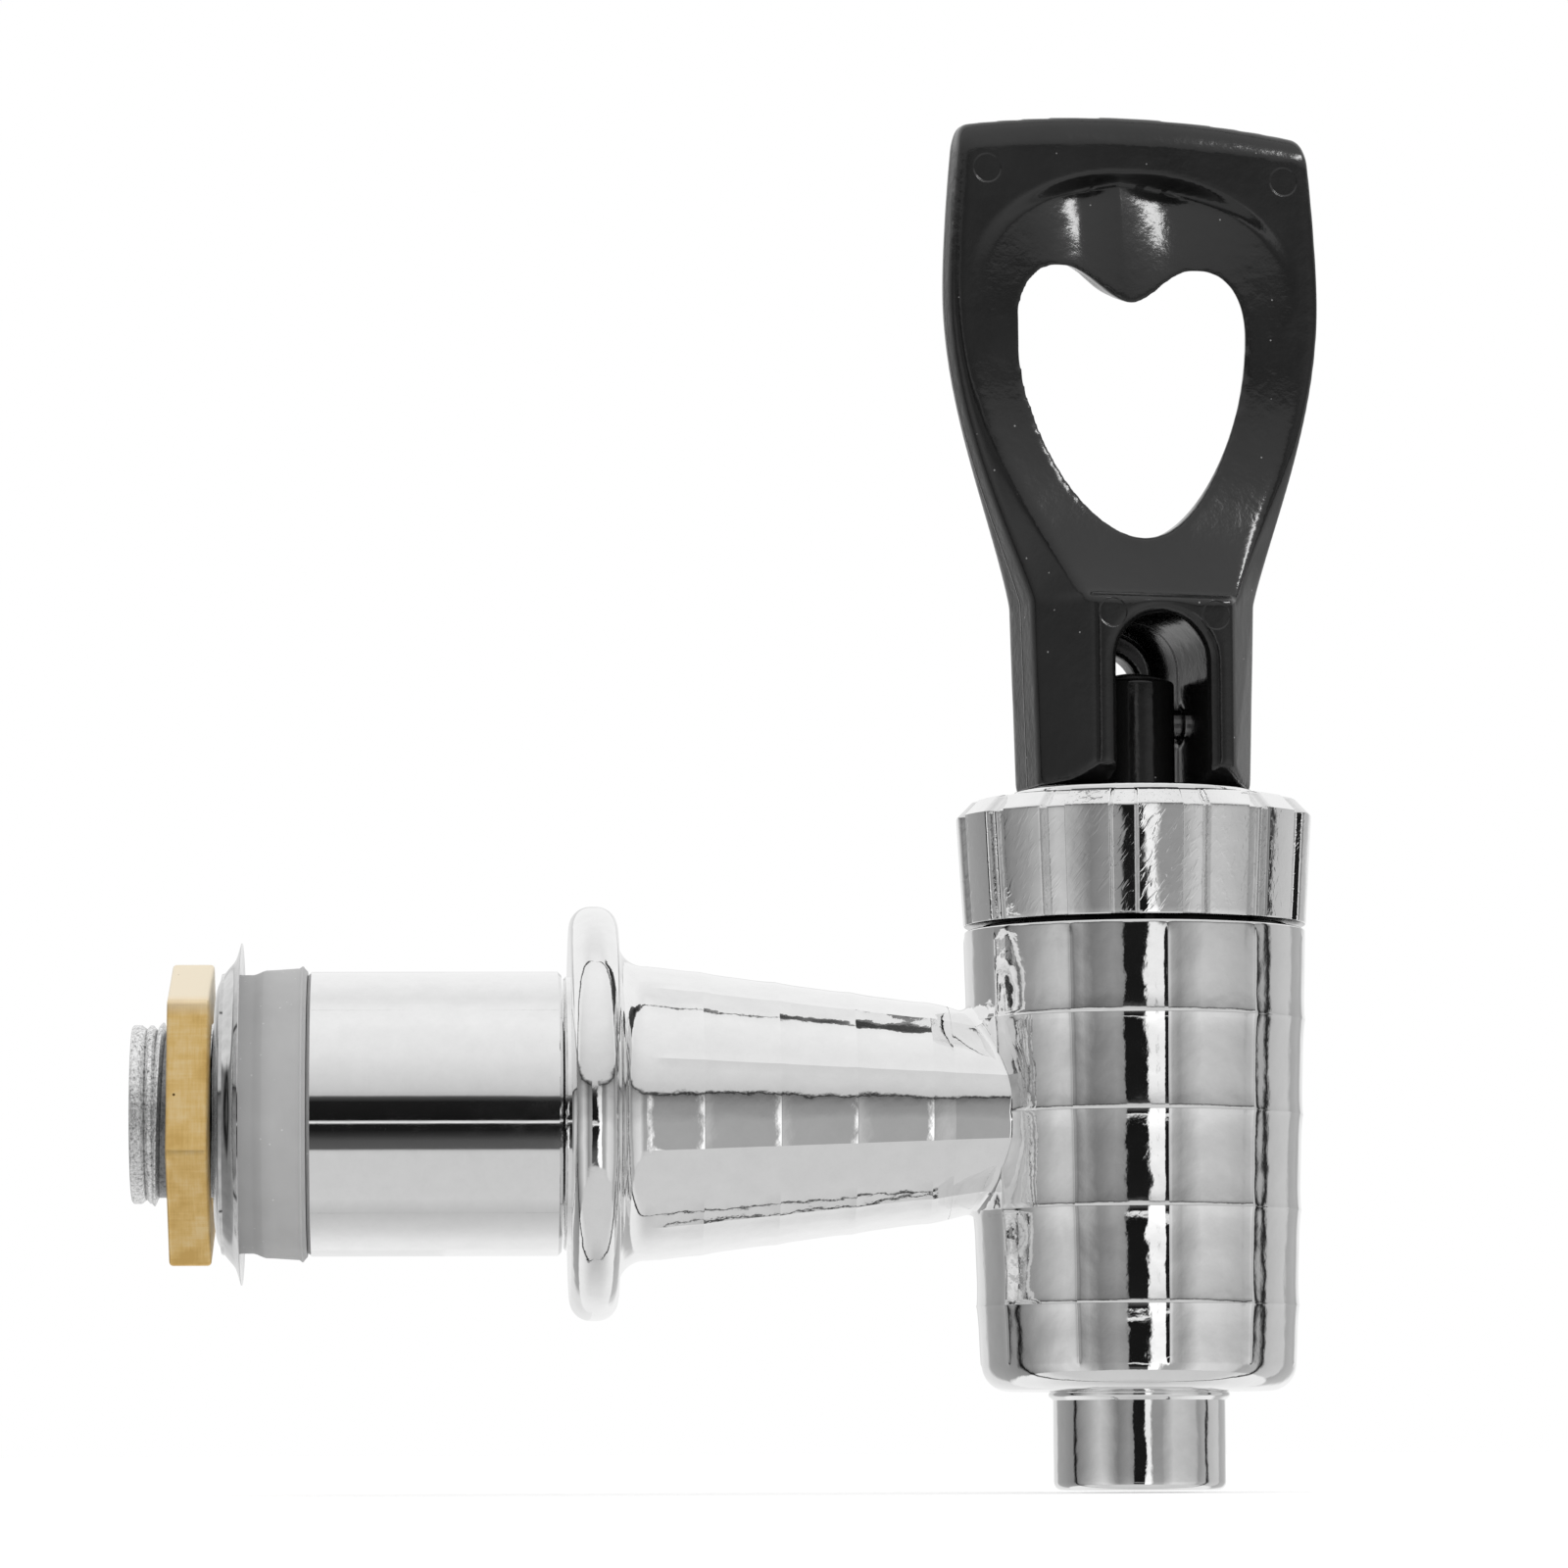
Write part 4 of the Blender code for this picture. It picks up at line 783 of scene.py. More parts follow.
def drawn_brass():
    """Drawn brass bar: warm satin yellow with a fine cross-hatch of bar lines and saw marks.

    The hatch is drawn about four times coarser than the real lines. The nut's upper end is
    painted paler: painted light on the flats that face up.
    """
    material, tree, place = new_material("drawn brass bar")
    along = node(tree, "Mapping", Vector=place, Scale=(0.04, 1.0, 1.0))
    lines = node(tree, "TexNoise", Vector=along, Scale=every(0.238), Detail=3.0)
    across = node(tree, "Mapping", Vector=place, Scale=(1.0, 0.08, 0.08))
    sawn = node(tree, "TexNoise", Vector=across, Scale=every(0.1923), Detail=2.0)
    lined = node(tree, "Bump", Height=lines, Strength=1.0, Distance=0.000004)
    crossed = node(tree, "Bump", Height=sawn, Strength=1.0, Distance=0.000004, Normal=lined)
    holes = node(tree, "TexVoronoi", feature="F1", Vector=place, Scale=every(1.79))
    pit = node(
        tree, "ValToRGB", stops=[(0.0, "#ffffff"), (0.050, "#ffffff"), (0.085, "#000000")],
        Fac=holes,
    )
    chance = node(tree, "SeparateColor", Color=holes.node.outputs["Color"])
    seldom = node(tree, "Math", operation="GREATER_THAN", _0=chance, _1=0.72)
    pitted = node(tree, "Math", operation="MULTIPLY", _0=pit, _1=seldom)
    mottle = node(tree, "TexNoise", Vector=place, Scale=every(2.38), Detail=4.0)
    weave = node(tree, "Math", operation="ADD", _0=lines, _1=sawn)
    hatch = node(tree, "Math", operation="MULTIPLY_ADD", _0=weave, _1=0.30, _2=mottle)
    tone = node(
        tree, "ValToRGB", stops=[(0.62, "#e8c177"), (0.80, "#f5d18a"), (0.98, "#fde0a7")],
        Fac=hatch,
    )
    # Painted light: the flats that face up are blended to a pale colour.
    height = node(tree, "SeparateXYZ", out="Z", Vector=place)
    painted_top_light = node(tree, "MapRange", Value=height, From_Min=0.0080, From_Max=0.0100)
    skin = node(tree, "Mix", **BLEND, Factor=painted_top_light, A=tone, B=linear("#f8ecd4"))
    colour = node(tree, "Mix", **BLEND, Factor=pitted, A=skin, B=linear("#5a421c"))
    shader = node(
        tree, "BsdfPrincipled", Base_Color=colour, Metallic=1.0, Roughness=0.46, Normal=crossed,
    )
    node(tree, "OutputMaterial", Surface=shader)
    return material


nut = piece("brass_nut", make_nut(), drawn_brass(), 20)
nut.visible_glossy = False  # its yellow would stain the mirror of the washer
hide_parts("lock_nut")
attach(nut, "nut")

# Lever handle
# One moulding in black ABS: a broad paddle with a heart-shaped hole over a thick block, which
# is slotted for the plunger and rolls on the bonnet by its curved heels. The mould has left a
# parting line down the sides and the round marks of its ejector pins.

HANDLE_BASE_Z = 0.0286
HANDLE_YAW = math.radians(13.5)
PIN_ABOVE_BASE = 0.0060
PIN_HOLE_RADIUS = 0.00165
HEEL_START = 0.0045
TILT_LIMIT = math.radians(35)
NECK_HEIGHT = 0.0164
PADDLE_WIDE_HEIGHT = 0.0445
PADDLE_TOP_HEIGHT = 0.06078
PADDLE_CROWN = 0.0014
PADDLE_TOP_ROUND = 0.0024
PADDLE_TOP_START = math.radians(18)
PADDLE_HALF_DEPTH = 0.0026
PADDLE_NARROWS = 0.0008
HEART_TOP = 0.0467
HEART_BOTTOM = 0.0221
HEART_MIDDLE = 0.0350
HEART_HALF_WIDTH = 0.0106
HEART_ASIDE = -0.0005
SLOT_HALF_WIDTH = 0.0043
SLOT_TOP = 0.0151
CUT_BELOW = -0.003
SCOOPS = [(-0.0046, 0.0034), (0.0038, 0.0050)]  # middle and width of the two finger scoops
SCOOP_DEPTH = 0.0026
SCOOP_MIDDLE_HEIGHT = 0.0456
SCOOP_REACH = (0.0156, 0.0100)  # half the width and the height of the hollow round both
SCOOP_WALL = 0.12
SCOOP_LOW_HEIGHT = 0.0390
SCOOP_RISE = 0.0155
SCOOP_REAR_SHARE = 0.4
MARK_RADIUS = 0.0013
MARKS = [(0.0140, 0.0, 0.0552), (0.0048, 0.0, 0.0149)]  # one pair high, one on the block
PLASTIC_GRID = 0.00026


def rounded_section(half, rear_side, front_side, rear, front, depth, corner):
    """Outline of the handle's eight-sided section with its corners drawn round."""
    corners = [
        Vector(c) for c in (
            (half, rear_side), (rear, depth), (-rear, depth), (-half, rear_side),
            (-half, -front_side), (-front, -depth), (front, -depth), (half, -front_side),
        )
    ]
    points = []
    for i, here in enumerate(corners):
        before = corners[i - 1] - here
        after = corners[(i + 1) % 8] - here
        start = here + before * min(corner / before.length, 0.48)
        end = here + after * min(corner / after.length, 0.48)
        for k in range(6):
            t = k / 5
            points.append(start * (1 - t) ** 2 + here * 2 * t * (1 - t) + end * t**2)
        if i in (1, 5):  # the broad faces, which need points for the crown of the top
            across = corners[(i + 1) % 8] - after.normalized() * min(corner, 0.48 * after.length)
            points.extend(end.lerp(across, k / 9) for k in range(1, 9))
    return points


def handle_sections():
    """(height, half, rear side, front side, rear, front, half depth, corner) up the handle."""
    neck = (0.0104, 0.0035, 0.0035, 0.0063, 0.0063, 0.0090)
    ledge = (0.0104, 0.0035, 0.0035, 0.0072, 0.0072, 0.0081)
    wide = (0.01735, 0.0006, 0.0022, 0.0164, 0.0169, PADDLE_HALF_DEPTH)
    half, rear_side, front_side, rear, front, depth = wide
    yield 0.0, 0.0099, *neck[1:], 0.0005
    yield NECK_HEIGHT - 0.0003, *neck, 0.0005
    yield NECK_HEIGHT, *neck[:3], 0.0064, 0.0064, neck[5] - 0.0002, 0.0006
    yield NECK_HEIGHT + 0.0002, *ledge, 0.0007
    for step in range(1, 41):
        share = (step / 40) ** 1.3
        out = math.sin(share * math.pi / 2) ** 1.1
        thin = 1 - (1 - share) ** 3
        mixes = (out, thin, thin, out, out, thin)
        section = [a + (b - a) * m for a, b, m in zip(ledge, wide, mixes)]
        yield NECK_HEIGHT + (PADDLE_WIDE_HEIGHT - NECK_HEIGHT) * share, *section, 0.0006
    shoulder = PADDLE_TOP_HEIGHT - PADDLE_CROWN - PADDLE_TOP_ROUND
    for step in range(1, 9):
        share = step / 8
        inset = PADDLE_NARROWS * share**1.6
        height = PADDLE_WIDE_HEIGHT + (shoulder - PADDLE_WIDE_HEIGHT) * share
        yield height, half - inset, rear_side, front_side, rear - inset, front - inset, depth, 0.0006
    low = math.sin(PADDLE_TOP_START)
    for step in range(1, 9):
        turn = PADDLE_TOP_START + (math.pi / 2 - PADDLE_TOP_START) * step / 8
        inwards = 1 - math.cos(turn) / math.cos(PADDLE_TOP_START)
        inset = PADDLE_NARROWS + 0.0010 * inwards
        thinner = 0.0017 * inwards
        yield (
            shoulder + PADDLE_TOP_ROUND * (math.sin(turn) - low) / (1 - low), half - inset,
            rear_side, front_side - thinner, rear - inset, front - inset, depth - thinner, 0.0005,
        )


def raised(levels):
    """A closed body lifted from its first flat outline through the later ones."""
    bm = bmesh.new()
    base = bm.faces.new([bm.verts.new(point) for point in levels[0]])
    face = base
    for outline in levels[1:]:
        under = face
        grown = bmesh.ops.extrude_face_region(bm, geom=[under])["geom"]
        face = next(item for item in grown if isinstance(item, bmesh.types.BMFace))
        for vert, place in zip(face.verts, outline):
            vert.co = place
        if under != base:
            bm.faces.remove(under)
    bmesh.ops.recalc_face_normals(bm, faces=bm.faces[:])
    return bm


def handle_blank():
    """The handle before its holes are cut, with the top of the paddle crowned."""
    levels = []
    for height, half, *rest in handle_sections():
        lift = max(0.0, (height - PADDLE_WIDE_HEIGHT) / (PADDLE_TOP_HEIGHT - PADDLE_WIDE_HEIGHT))
        levels.append([
            (p.x, p.y, height + PADDLE_CROWN * lift * (1 - (p.x / half) ** 2))
            for p in rounded_section(half, *rest)
        ])
    return raised(levels)


def heart_points(grow=0.0):
    """Outline of the heart, from splines through its notch, lobes, sides and point."""
    side = HEART_HALF_WIDTH
    knots = [
        ((0.0, 0.0435), (0.0020, 0.0435), (0.0036, HEART_TOP), (0.0063, HEART_TOP)),
        ((0.0063, HEART_TOP), (0.0092, HEART_TOP), (side, 0.0442), (side, 0.0408)),
        ((side, 0.0408), (side, 0.0318), (0.0052, HEART_BOTTOM), (0.0, HEART_BOTTOM)),
    ]
    right = []
    for knot in knots:
        splined = interpolate_bezier(*(Vector((u, 0.0, z)) for u, z in knot), 24)
        right.extend(splined[:-1])
    left = [Vector((-p.x, 0.0, p.z)) for p in reversed(right[1:])]
    whole = right + [Vector((0.0, 0.0, HEART_BOTTOM))] + left
    middle = Vector((0.0, 0.0, HEART_MIDDLE))
    aside = middle + Vector((HEART_ASIDE, 0.0, 0.0))
    return [aside + (p - middle) * (1 + grow / HEART_HALF_WIDTH) for p in whole]


def slot_points(grow=0.0):
    """Outline of the plunger's slot: straight sides and a round arch, open at the base."""
    half = SLOT_HALF_WIDTH + grow
    arch = SLOT_TOP - SLOT_HALF_WIDTH + min(grow, 0.0) / 2
    turns = [math.radians(180 * k / 32) for k in range(33)]
    over = [Vector((half * math.cos(a), 0.0, arch + half * math.sin(a))) for a in turns]
    return [Vector((half, 0.0, CUT_BELOW))] + over + [Vector((-half, 0.0, CUT_BELOW))]


def stepped(outline_at, steps):
    """A cutter whose outline grows or shrinks from front to back, from (depth, growth) steps."""
    return raised([[p + Vector((0.0, v, 0.0)) for p in outline_at(grow)] for v, grow in steps])


def heart_cutter():
    """The heart opens towards the back, as a mould needs."""
    steps = [(-0.0060, 0.0), (-0.0028, 0.0), (0.0028, 0.0020), (0.0060, 0.0020)]
    return stepped(heart_points, steps)


def slot_cutter():
    """The slot, with broken front edges and a lower, narrower way out at the back."""
    front = [(-0.0110, 0.00275), (-0.0090, 0.00075), (-0.0083, 0.0), (0.0062, 0.0)]
    return stepped(slot_points, front + [(0.0064, -0.0014), (0.0110, -0.0014)])


def heel_cutter(side):
    """Space under one edge of the block: the heel rises evenly with each degree of tilt."""
    far = 0.0120
    across = Vector((0.0140, 0.0, 0.0))
    points = []
    for step in range(25):
        tilt = TILT_LIMIT * step / 24
        reach = PIN_ABOVE_BASE + HEEL_START * tilt
        out = reach * math.sin(tilt) + HEEL_START * math.cos(tilt)
        down = reach * math.cos(tilt) - HEEL_START * math.sin(tilt)
        points.append((out, PIN_ABOVE_BASE - down))
    out, height = points[-1]
    points.append((far, height + (far - out) * math.tan(TILT_LIMIT)))
    points.extend([(far, CUT_BELOW), (HEEL_START, CUT_BELOW)])
    outline = [Vector((0.0, side * v, z)) for v, z in points]
    return raised([[p - across for p in outline], [p + across for p in outline]])


def pin_drill(length, place):
    """A round cutter for the pin's bore, along X before it is placed."""
    bm = bmesh.new()
    bmesh.ops.create_cone(
        bm, cap_ends=True, segments=48, radius1=PIN_HOLE_RADIUS, radius2=PIN_HOLE_RADIUS,
        depth=length, matrix=place @ Matrix.Rotation(math.pi / 2, 4, "Y"),
    )
    return bm


def carved(blank, cuts, grid=None):
    """The blank with its cutters taken out, and drawn again on an even grid where one is given."""
    whole = as_object("blank", blank)
    cutters = [as_object("cutter", cut) for cut in cuts]
    for cutter in cutters:
        step = whole.modifiers.new("cut", "BOOLEAN")
        step.operation = "DIFFERENCE"
        step.solver = "EXACT"
        step.object = cutter
    if grid:
        even = whole.modifiers.new("even grid", "REMESH")
        even.mode = "VOXEL"
        even.voxel_size = grid
    bpy.context.view_layer.update()
    graph = bpy.context.evaluated_depsgraph_get()
    bm = bmesh.new()
    bm.from_mesh(whole.evaluated_get(graph).to_mesh())
    for helper in cutters + [whole]:
        bpy.data.objects.remove(helper, do_unlink=True)
    return bm


def scoop(vert):
    """Sinks the two finger scoops over the heart: a steep upper wall, and a rising floor."""
    u, v, z = vert.co
    out = math.hypot(u / SCOOP_REACH[0], (z - SCOOP_MIDDLE_HEIGHT) / SCOOP_REACH[1])
    if z < SCOOP_LOW_HEIGHT or out > 1.0:
        return
    wall = min((1.0 - out) / SCOOP_WALL, 1.0)
    rise = min((z - SCOOP_LOW_HEIGHT) / SCOOP_RISE, 1.0)
    bowls = [math.exp(-(((u - middle) / width) ** 2)) for middle, width in SCOOPS]
    hollow = SCOOP_DEPTH * eased(wall) * rise**2 * (0.25 + 0.75 * max(bowls))
    vert.co.y += hollow if v < 0 else -SCOOP_REAR_SHARE * hollow


def make_handle():
    """The moulding in its place, its pin bore blind on the left and open on the right."""
    drill = pin_drill(0.0208, Matrix.Translation((0.0030, 0.0, PIN_ABOVE_BASE)))
    cuts = [heart_cutter(), slot_cutter(), drill, heel_cutter(1), heel_cutter(-1)]
    bm = carved(handle_blank(), cuts, PLASTIC_GRID)
    for _ in range(4):
        bmesh.ops.smooth_vert(
            bm, verts=bm.verts[:], factor=0.5, use_axis_x=True, use_axis_y=True, use_axis_z=True,
        )
    for vert in bm.verts:
        scoop(vert)
    place = Matrix.Translation((CHAMBER_X, 0.0, HANDLE_BASE_Z)) @ Matrix.Rotation(HANDLE_YAW, 4, "Z")
    bmesh.ops.transform(bm, matrix=place, verts=bm.verts[:])
    return bm


def moulded_black_plastic():
    """Black ABS from a polished mould: satin gloss, faint orange peel, mould marks, stray dust."""
    material, tree, place = new_material("moulded black ABS")
    own = node(
        tree, "Mapping", vector_type="TEXTURE", Vector=place,
        Location=(CHAMBER_X, 0.0, HANDLE_BASE_Z), Rotation=(0.0, 0.0, HANDLE_YAW),
    )
    axes = node(tree, "SeparateXYZ", Vector=own).node.outputs
    across = node(tree, "Math", operation="ABSOLUTE", _0=axes["X"])
    through = node(tree, "Math", operation="ABSOLUTE", _0=axes["Y"])
    folded = node(tree, "CombineXYZ", X=across, Z=axes["Z"])
    away = [node(tree, "VectorMath", operation="DISTANCE", _0=folded, _1=at) for at in MARKS]
    nearest = node(tree, "Math", operation="MINIMUM", _0=away[0], _1=away[1])
    pin_edge = node(
        tree, "MapRange", interpolation_type="SMOOTHSTEP", Value=nearest,
        From_Min=MARK_RADIUS - 0.00012, From_Max=MARK_RADIUS + 0.00006,
    )
    parting = node(
        tree, "MapRange", interpolation_type="SMOOTHSTEP", Value=through, From_Min=0.00006,
        From_Max=0.00018, To_Min=1.0, To_Max=0.0,
    )
    peel = node(tree, "TexNoise", Vector=own, Scale=every(1.92), Detail=4.0, Roughness=0.6)
    peeled = node(tree, "Bump", Height=peel, Strength=1.0, Distance=0.000045)
    marked = node(tree, "Bump", Height=pin_edge, Strength=1.0, Distance=0.00007, Normal=peeled)
    seamed = node(tree, "Bump", Height=parting, Strength=1.0, Distance=0.00005, Normal=marked)
    flow = node(tree, "TexNoise", Vector=own, Scale=every(9.1), Detail=4.0)
    gloss = node(
        tree, "MapRange", Value=flow, From_Min=0.35, From_Max=0.7, To_Min=0.11, To_Max=0.18,
    )
    tone = node(tree, "ValToRGB", stops=[(0.3, "#121212"), (0.7, "#191919")], Fac=flow)
    dust = node(tree, "TexVoronoi", feature="F1", Vector=own, Scale=every(2.38))
    speck = node(tree, "Math", operation="LESS_THAN", _0=dust, _1=0.035)
    colour = node(tree, "Mix", **BLEND, Factor=speck, A=tone, B=linear("#8a8a8a"))
    shader = node(
        tree, "BsdfPrincipled", Base_Color=colour, Roughness=gloss, Normal=seamed, IOR=1.54,
    )
    node(tree, "OutputMaterial", Surface=shader)
    return material


black_plastic = moulded_black_plastic()
handle = piece("lever_handle", make_handle(), black_plastic, 60)
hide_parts("handle")
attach(handle, "lever")

# Plunger
# A black moulded rod with a domed head, bored for the handle's pin. It runs down through the
# bonnet to a round foot that sits in the seat cup.

STEM_RADIUS = 0.00375
STEM_TOP_Z = 0.0391
STEM_FOOT_Z = -0.0112
STEM_DOME_RADIUS = 0.0080
PIN_Z = 0.0346


def make_stem():
    """Foot, rod and dome in one turned outline, cross-bored in line with the handle."""
    start = math.degrees(math.acos(STEM_RADIUS / STEM_DOME_RADIUS))
    dome_z = STEM_TOP_Z - STEM_DOME_RADIUS
    shoulder = dome_z + STEM_DOME_RADIUS * math.sin(math.radians(start))
    foot = 0.0061
    soft = 0.0004
    outline = (
        [(0.0, STEM_FOOT_Z), (foot - soft, STEM_FOOT_Z)]
        + arc((foot - soft, STEM_FOOT_Z + soft), soft, -90, 0, 4)
        + arc((foot - soft, STEM_FOOT_Z + 0.0022), soft, 0, 90, 4)
        + [(STEM_RADIUS + 0.0005, STEM_FOOT_Z + 0.0026)]
        + arc((STEM_RADIUS + soft, STEM_FOOT_Z + 0.0030), soft, 270, 180, 4)
        + spaced((STEM_RADIUS, STEM_FOOT_Z + 0.0032), (STEM_RADIUS, shoulder - 0.0002), 24)
        + arc((STEM_RADIUS - soft, shoulder - 0.0002), soft, 0, start - 5, 5)
        + arc((0.0, dome_z), STEM_DOME_RADIUS, start + 4, 90, 10)[:-1]
        + [(0.0, STEM_TOP_Z)]
    )
    at_pin = Matrix.Translation((0.0, 0.0, PIN_Z)) @ Matrix.Rotation(HANDLE_YAW, 4, "Z")
    bm = carved(turned(outline, 96, closed=False), [pin_drill(0.0150, at_pin)])
    bmesh.ops.translate(bm, verts=bm.verts[:], vec=(CHAMBER_X, 0.0, 0.0))
    return bm


stem = piece("plunger_rod", make_stem(), black_plastic)
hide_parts("stem")
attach(stem, "plunger")

# Handle pin, spring and spring washer
# Stainless steel: a ground pin across the block, a wound compression spring round the plunger,
# and a stamped washer that the spring pushes against the bonnet.


def bright_steel(name, roughness, lay):
    """Drawn or ground steel: bright, with fine lines of its lay and a little haze.

    The lines are drawn coarser than real ones.
    """
    material, tree, place = new_material(name)
    drawn = node(tree, "Mapping", Vector=place, Scale=lay)
    lines = node(tree, "TexNoise", Vector=drawn, Scale=every(0.263), Detail=3.0)
    lined = node(tree, "Bump", Height=lines, Strength=1.0, Distance=0.000003)
    haze = node(tree, "TexNoise", Vector=place, Scale=every(1.43), Detail=4.0)
    gloss = node(
        tree, "MapRange", Value=haze, From_Min=0.35, From_Max=0.7, To_Min=roughness,
        To_Max=roughness + 0.12,
    )
    colour = node(tree, "ValToRGB", stops=[(0.3, "#c9c9c9"), (0.7, "#b9b9b9")], Fac=haze)
    shader = node(
        tree, "BsdfPrincipled", Base_Color=colour, Metallic=1.0, Roughness=gloss, Normal=lined,
    )
    node(tree, "OutputMaterial", Surface=shader)
    return material


def finish_node(name, material):
    """Gives a CAD node that stays a better material."""
    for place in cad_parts[name].material_slots:
        place.material = material


finish_node("handle_pin", bright_steel("ground steel pin", 0.16, (0.05, 0.05, 1.0)))
finish_node("spring_washer", bright_steel("stamped stainless sheet", 0.24, (1.0, 0.1, 1.0)))

SPRING_RADIUS = 0.0052
SPRING_TURNS = 8
WIRE_RADIUS = 0.00045
spring_low, spring_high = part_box("stem_spring")
SPRING_LENGTH = spring_high[2] - spring_low[2]


def make_spring():
    """Round wire wound round the plunger in even turns."""
    steps = 36 * SPRING_TURNS
    wire = Matrix.Translation((SPRING_RADIUS, 0.0, spring_low[2] + WIRE_RADIUS))
    bm = bmesh.new()
    bmesh.ops.create_circle(
        bm, segments=10, radius=WIRE_RADIUS, matrix=wire @ Matrix.Rotation(math.pi / 2, 4, "X"),
    )
    bmesh.ops.spin(
        bm, geom=bm.verts[:] + bm.edges[:], cent=(0, 0, 0), axis=(0, 0, 1),
        angle=2 * math.pi * SPRING_TURNS, steps=steps,
        dvec=(0, 0, (SPRING_LENGTH - 2 * WIRE_RADIUS) / steps),
    )
    bmesh.ops.remove_doubles(bm, verts=bm.verts[:], dist=MERGE)
    bmesh.ops.holes_fill(bm, edges=bm.edges[:], sides=10)
    bmesh.ops.recalc_face_normals(bm, faces=bm.faces[:])
    bmesh.ops.translate(bm, verts=bm.verts[:], vec=(CHAMBER_X, 0.0, 0.0))
    return bm


spring_wire = bright_steel("drawn spring wire", 0.22, (1.0, 1.0, 0.3))
spring = piece("wound_spring", make_spring(), spring_wire)
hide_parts("stem_spring")
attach(spring, "swivel")
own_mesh(spring)

# Seat cup
# Soft grey silicone moulding: its plug shuts the outlet, and its rim is clamped under the
# bonnet. It keeps the finish of the gasket.

finish_node("seat_cup", gasket_silicone)

# Table
# A pale seamless sheet just under the outlet. It keeps the spigot's shadow, and a little light
# of its own lets it run into the white behind.

TABLE_Z = -0.0335
TABLE_HALF = 3.0


def make_table():
    """The sheet, wide enough to run out of every view."""
    bm = bmesh.new()
    bmesh.ops.create_grid(bm, x_segments=8, y_segments=8, size=TABLE_HALF)
    bmesh.ops.translate(bm, verts=bm.verts[:], vec=(0.0, 0.0, TABLE_Z))
    return bm


def white_paper():
    """Matt paper, nearly even. Its fibres are drawn coarser than real ones."""
    material, tree, place = new_material("matt white paper")
    fibre = node(tree, "TexNoise", Vector=place, Scale=every(1.11), Detail=3.0)
    tone = node(tree, "ValToRGB", stops=[(0.3, "#f1f1f1"), (0.7, "#f5f5f5")], Fac=fibre)
    paper = node(tree, "BsdfDiffuse", Color=tone)
    glow = node(tree, "Emission", Color=linear("#ffffff"), Strength=0.36)
    lifted = node(tree, "AddShader", _0=paper, _1=glow)
    seen = node(tree, "LightPath", out="Is Camera Ray")
    shown = node(tree, "MixShader", Fac=seen, _1=paper, _2=lifted)
    node(tree, "OutputMaterial", Surface=shown)
    return material


table = piece("table", make_table(), white_paper())
table.visible_glossy = False  # the metal mirrors the tent alone

# Camera at the photograph's place, below the spigot's middle and looking slightly up.
CAMERA_PLACE = (-0.01100, -0.59873, -0.02953)
CAMERA_YAW = math.radians(-1.898)
CAMERA_PITCH = math.radians(95.607)
CAMERA_ROLL = math.radians(-0.21)

camera_data = bpy.data.cameras.new("camera")
camera_data.sensor_width = 36.0
camera_data.lens = 155.5
camera_data.shift_x = 0.0742
camera_data.clip_start = 0.01
camera_data.clip_end = 20.0
camera = bpy.data.objects.new("camera", camera_data)
bpy.context.scene.collection.objects.link(camera)
camera.matrix_world = (
    Matrix.Translation(CAMERA_PLACE)
    @ Matrix.Rotation(CAMERA_YAW, 4, "Z")
    @ Matrix.Rotation(CAMERA_PITCH, 4, "X")
    @ Matrix.Rotation(CAMERA_ROLL, 4, "Z")
)
bpy.context.scene.camera = camera
bpy.context.scene.view_settings.view_transform = "Standard"

# Studio
# A white light tent. Its roof is brighter than its walls, which have seams at the sides and a
# dark slit at the front, where the camera looks in. Only the metal and the gloss mirror it.

TENT_WALL_LIGHT = 1.36
TENT_LIGHT = 0.95  # what matt surfaces get from all sides


def around(*stops):
    """A ramp round the tent, from (degrees to the right of its front, colour) stops."""
    return [(0.5 + degrees / 360, code) for degrees, code in stops]


def upwards(*stops):
    """A ramp up the tent, from (degrees above the horizon, colour) stops."""
    return [(0.5 + degrees / 180, code) for degrees, code in stops]


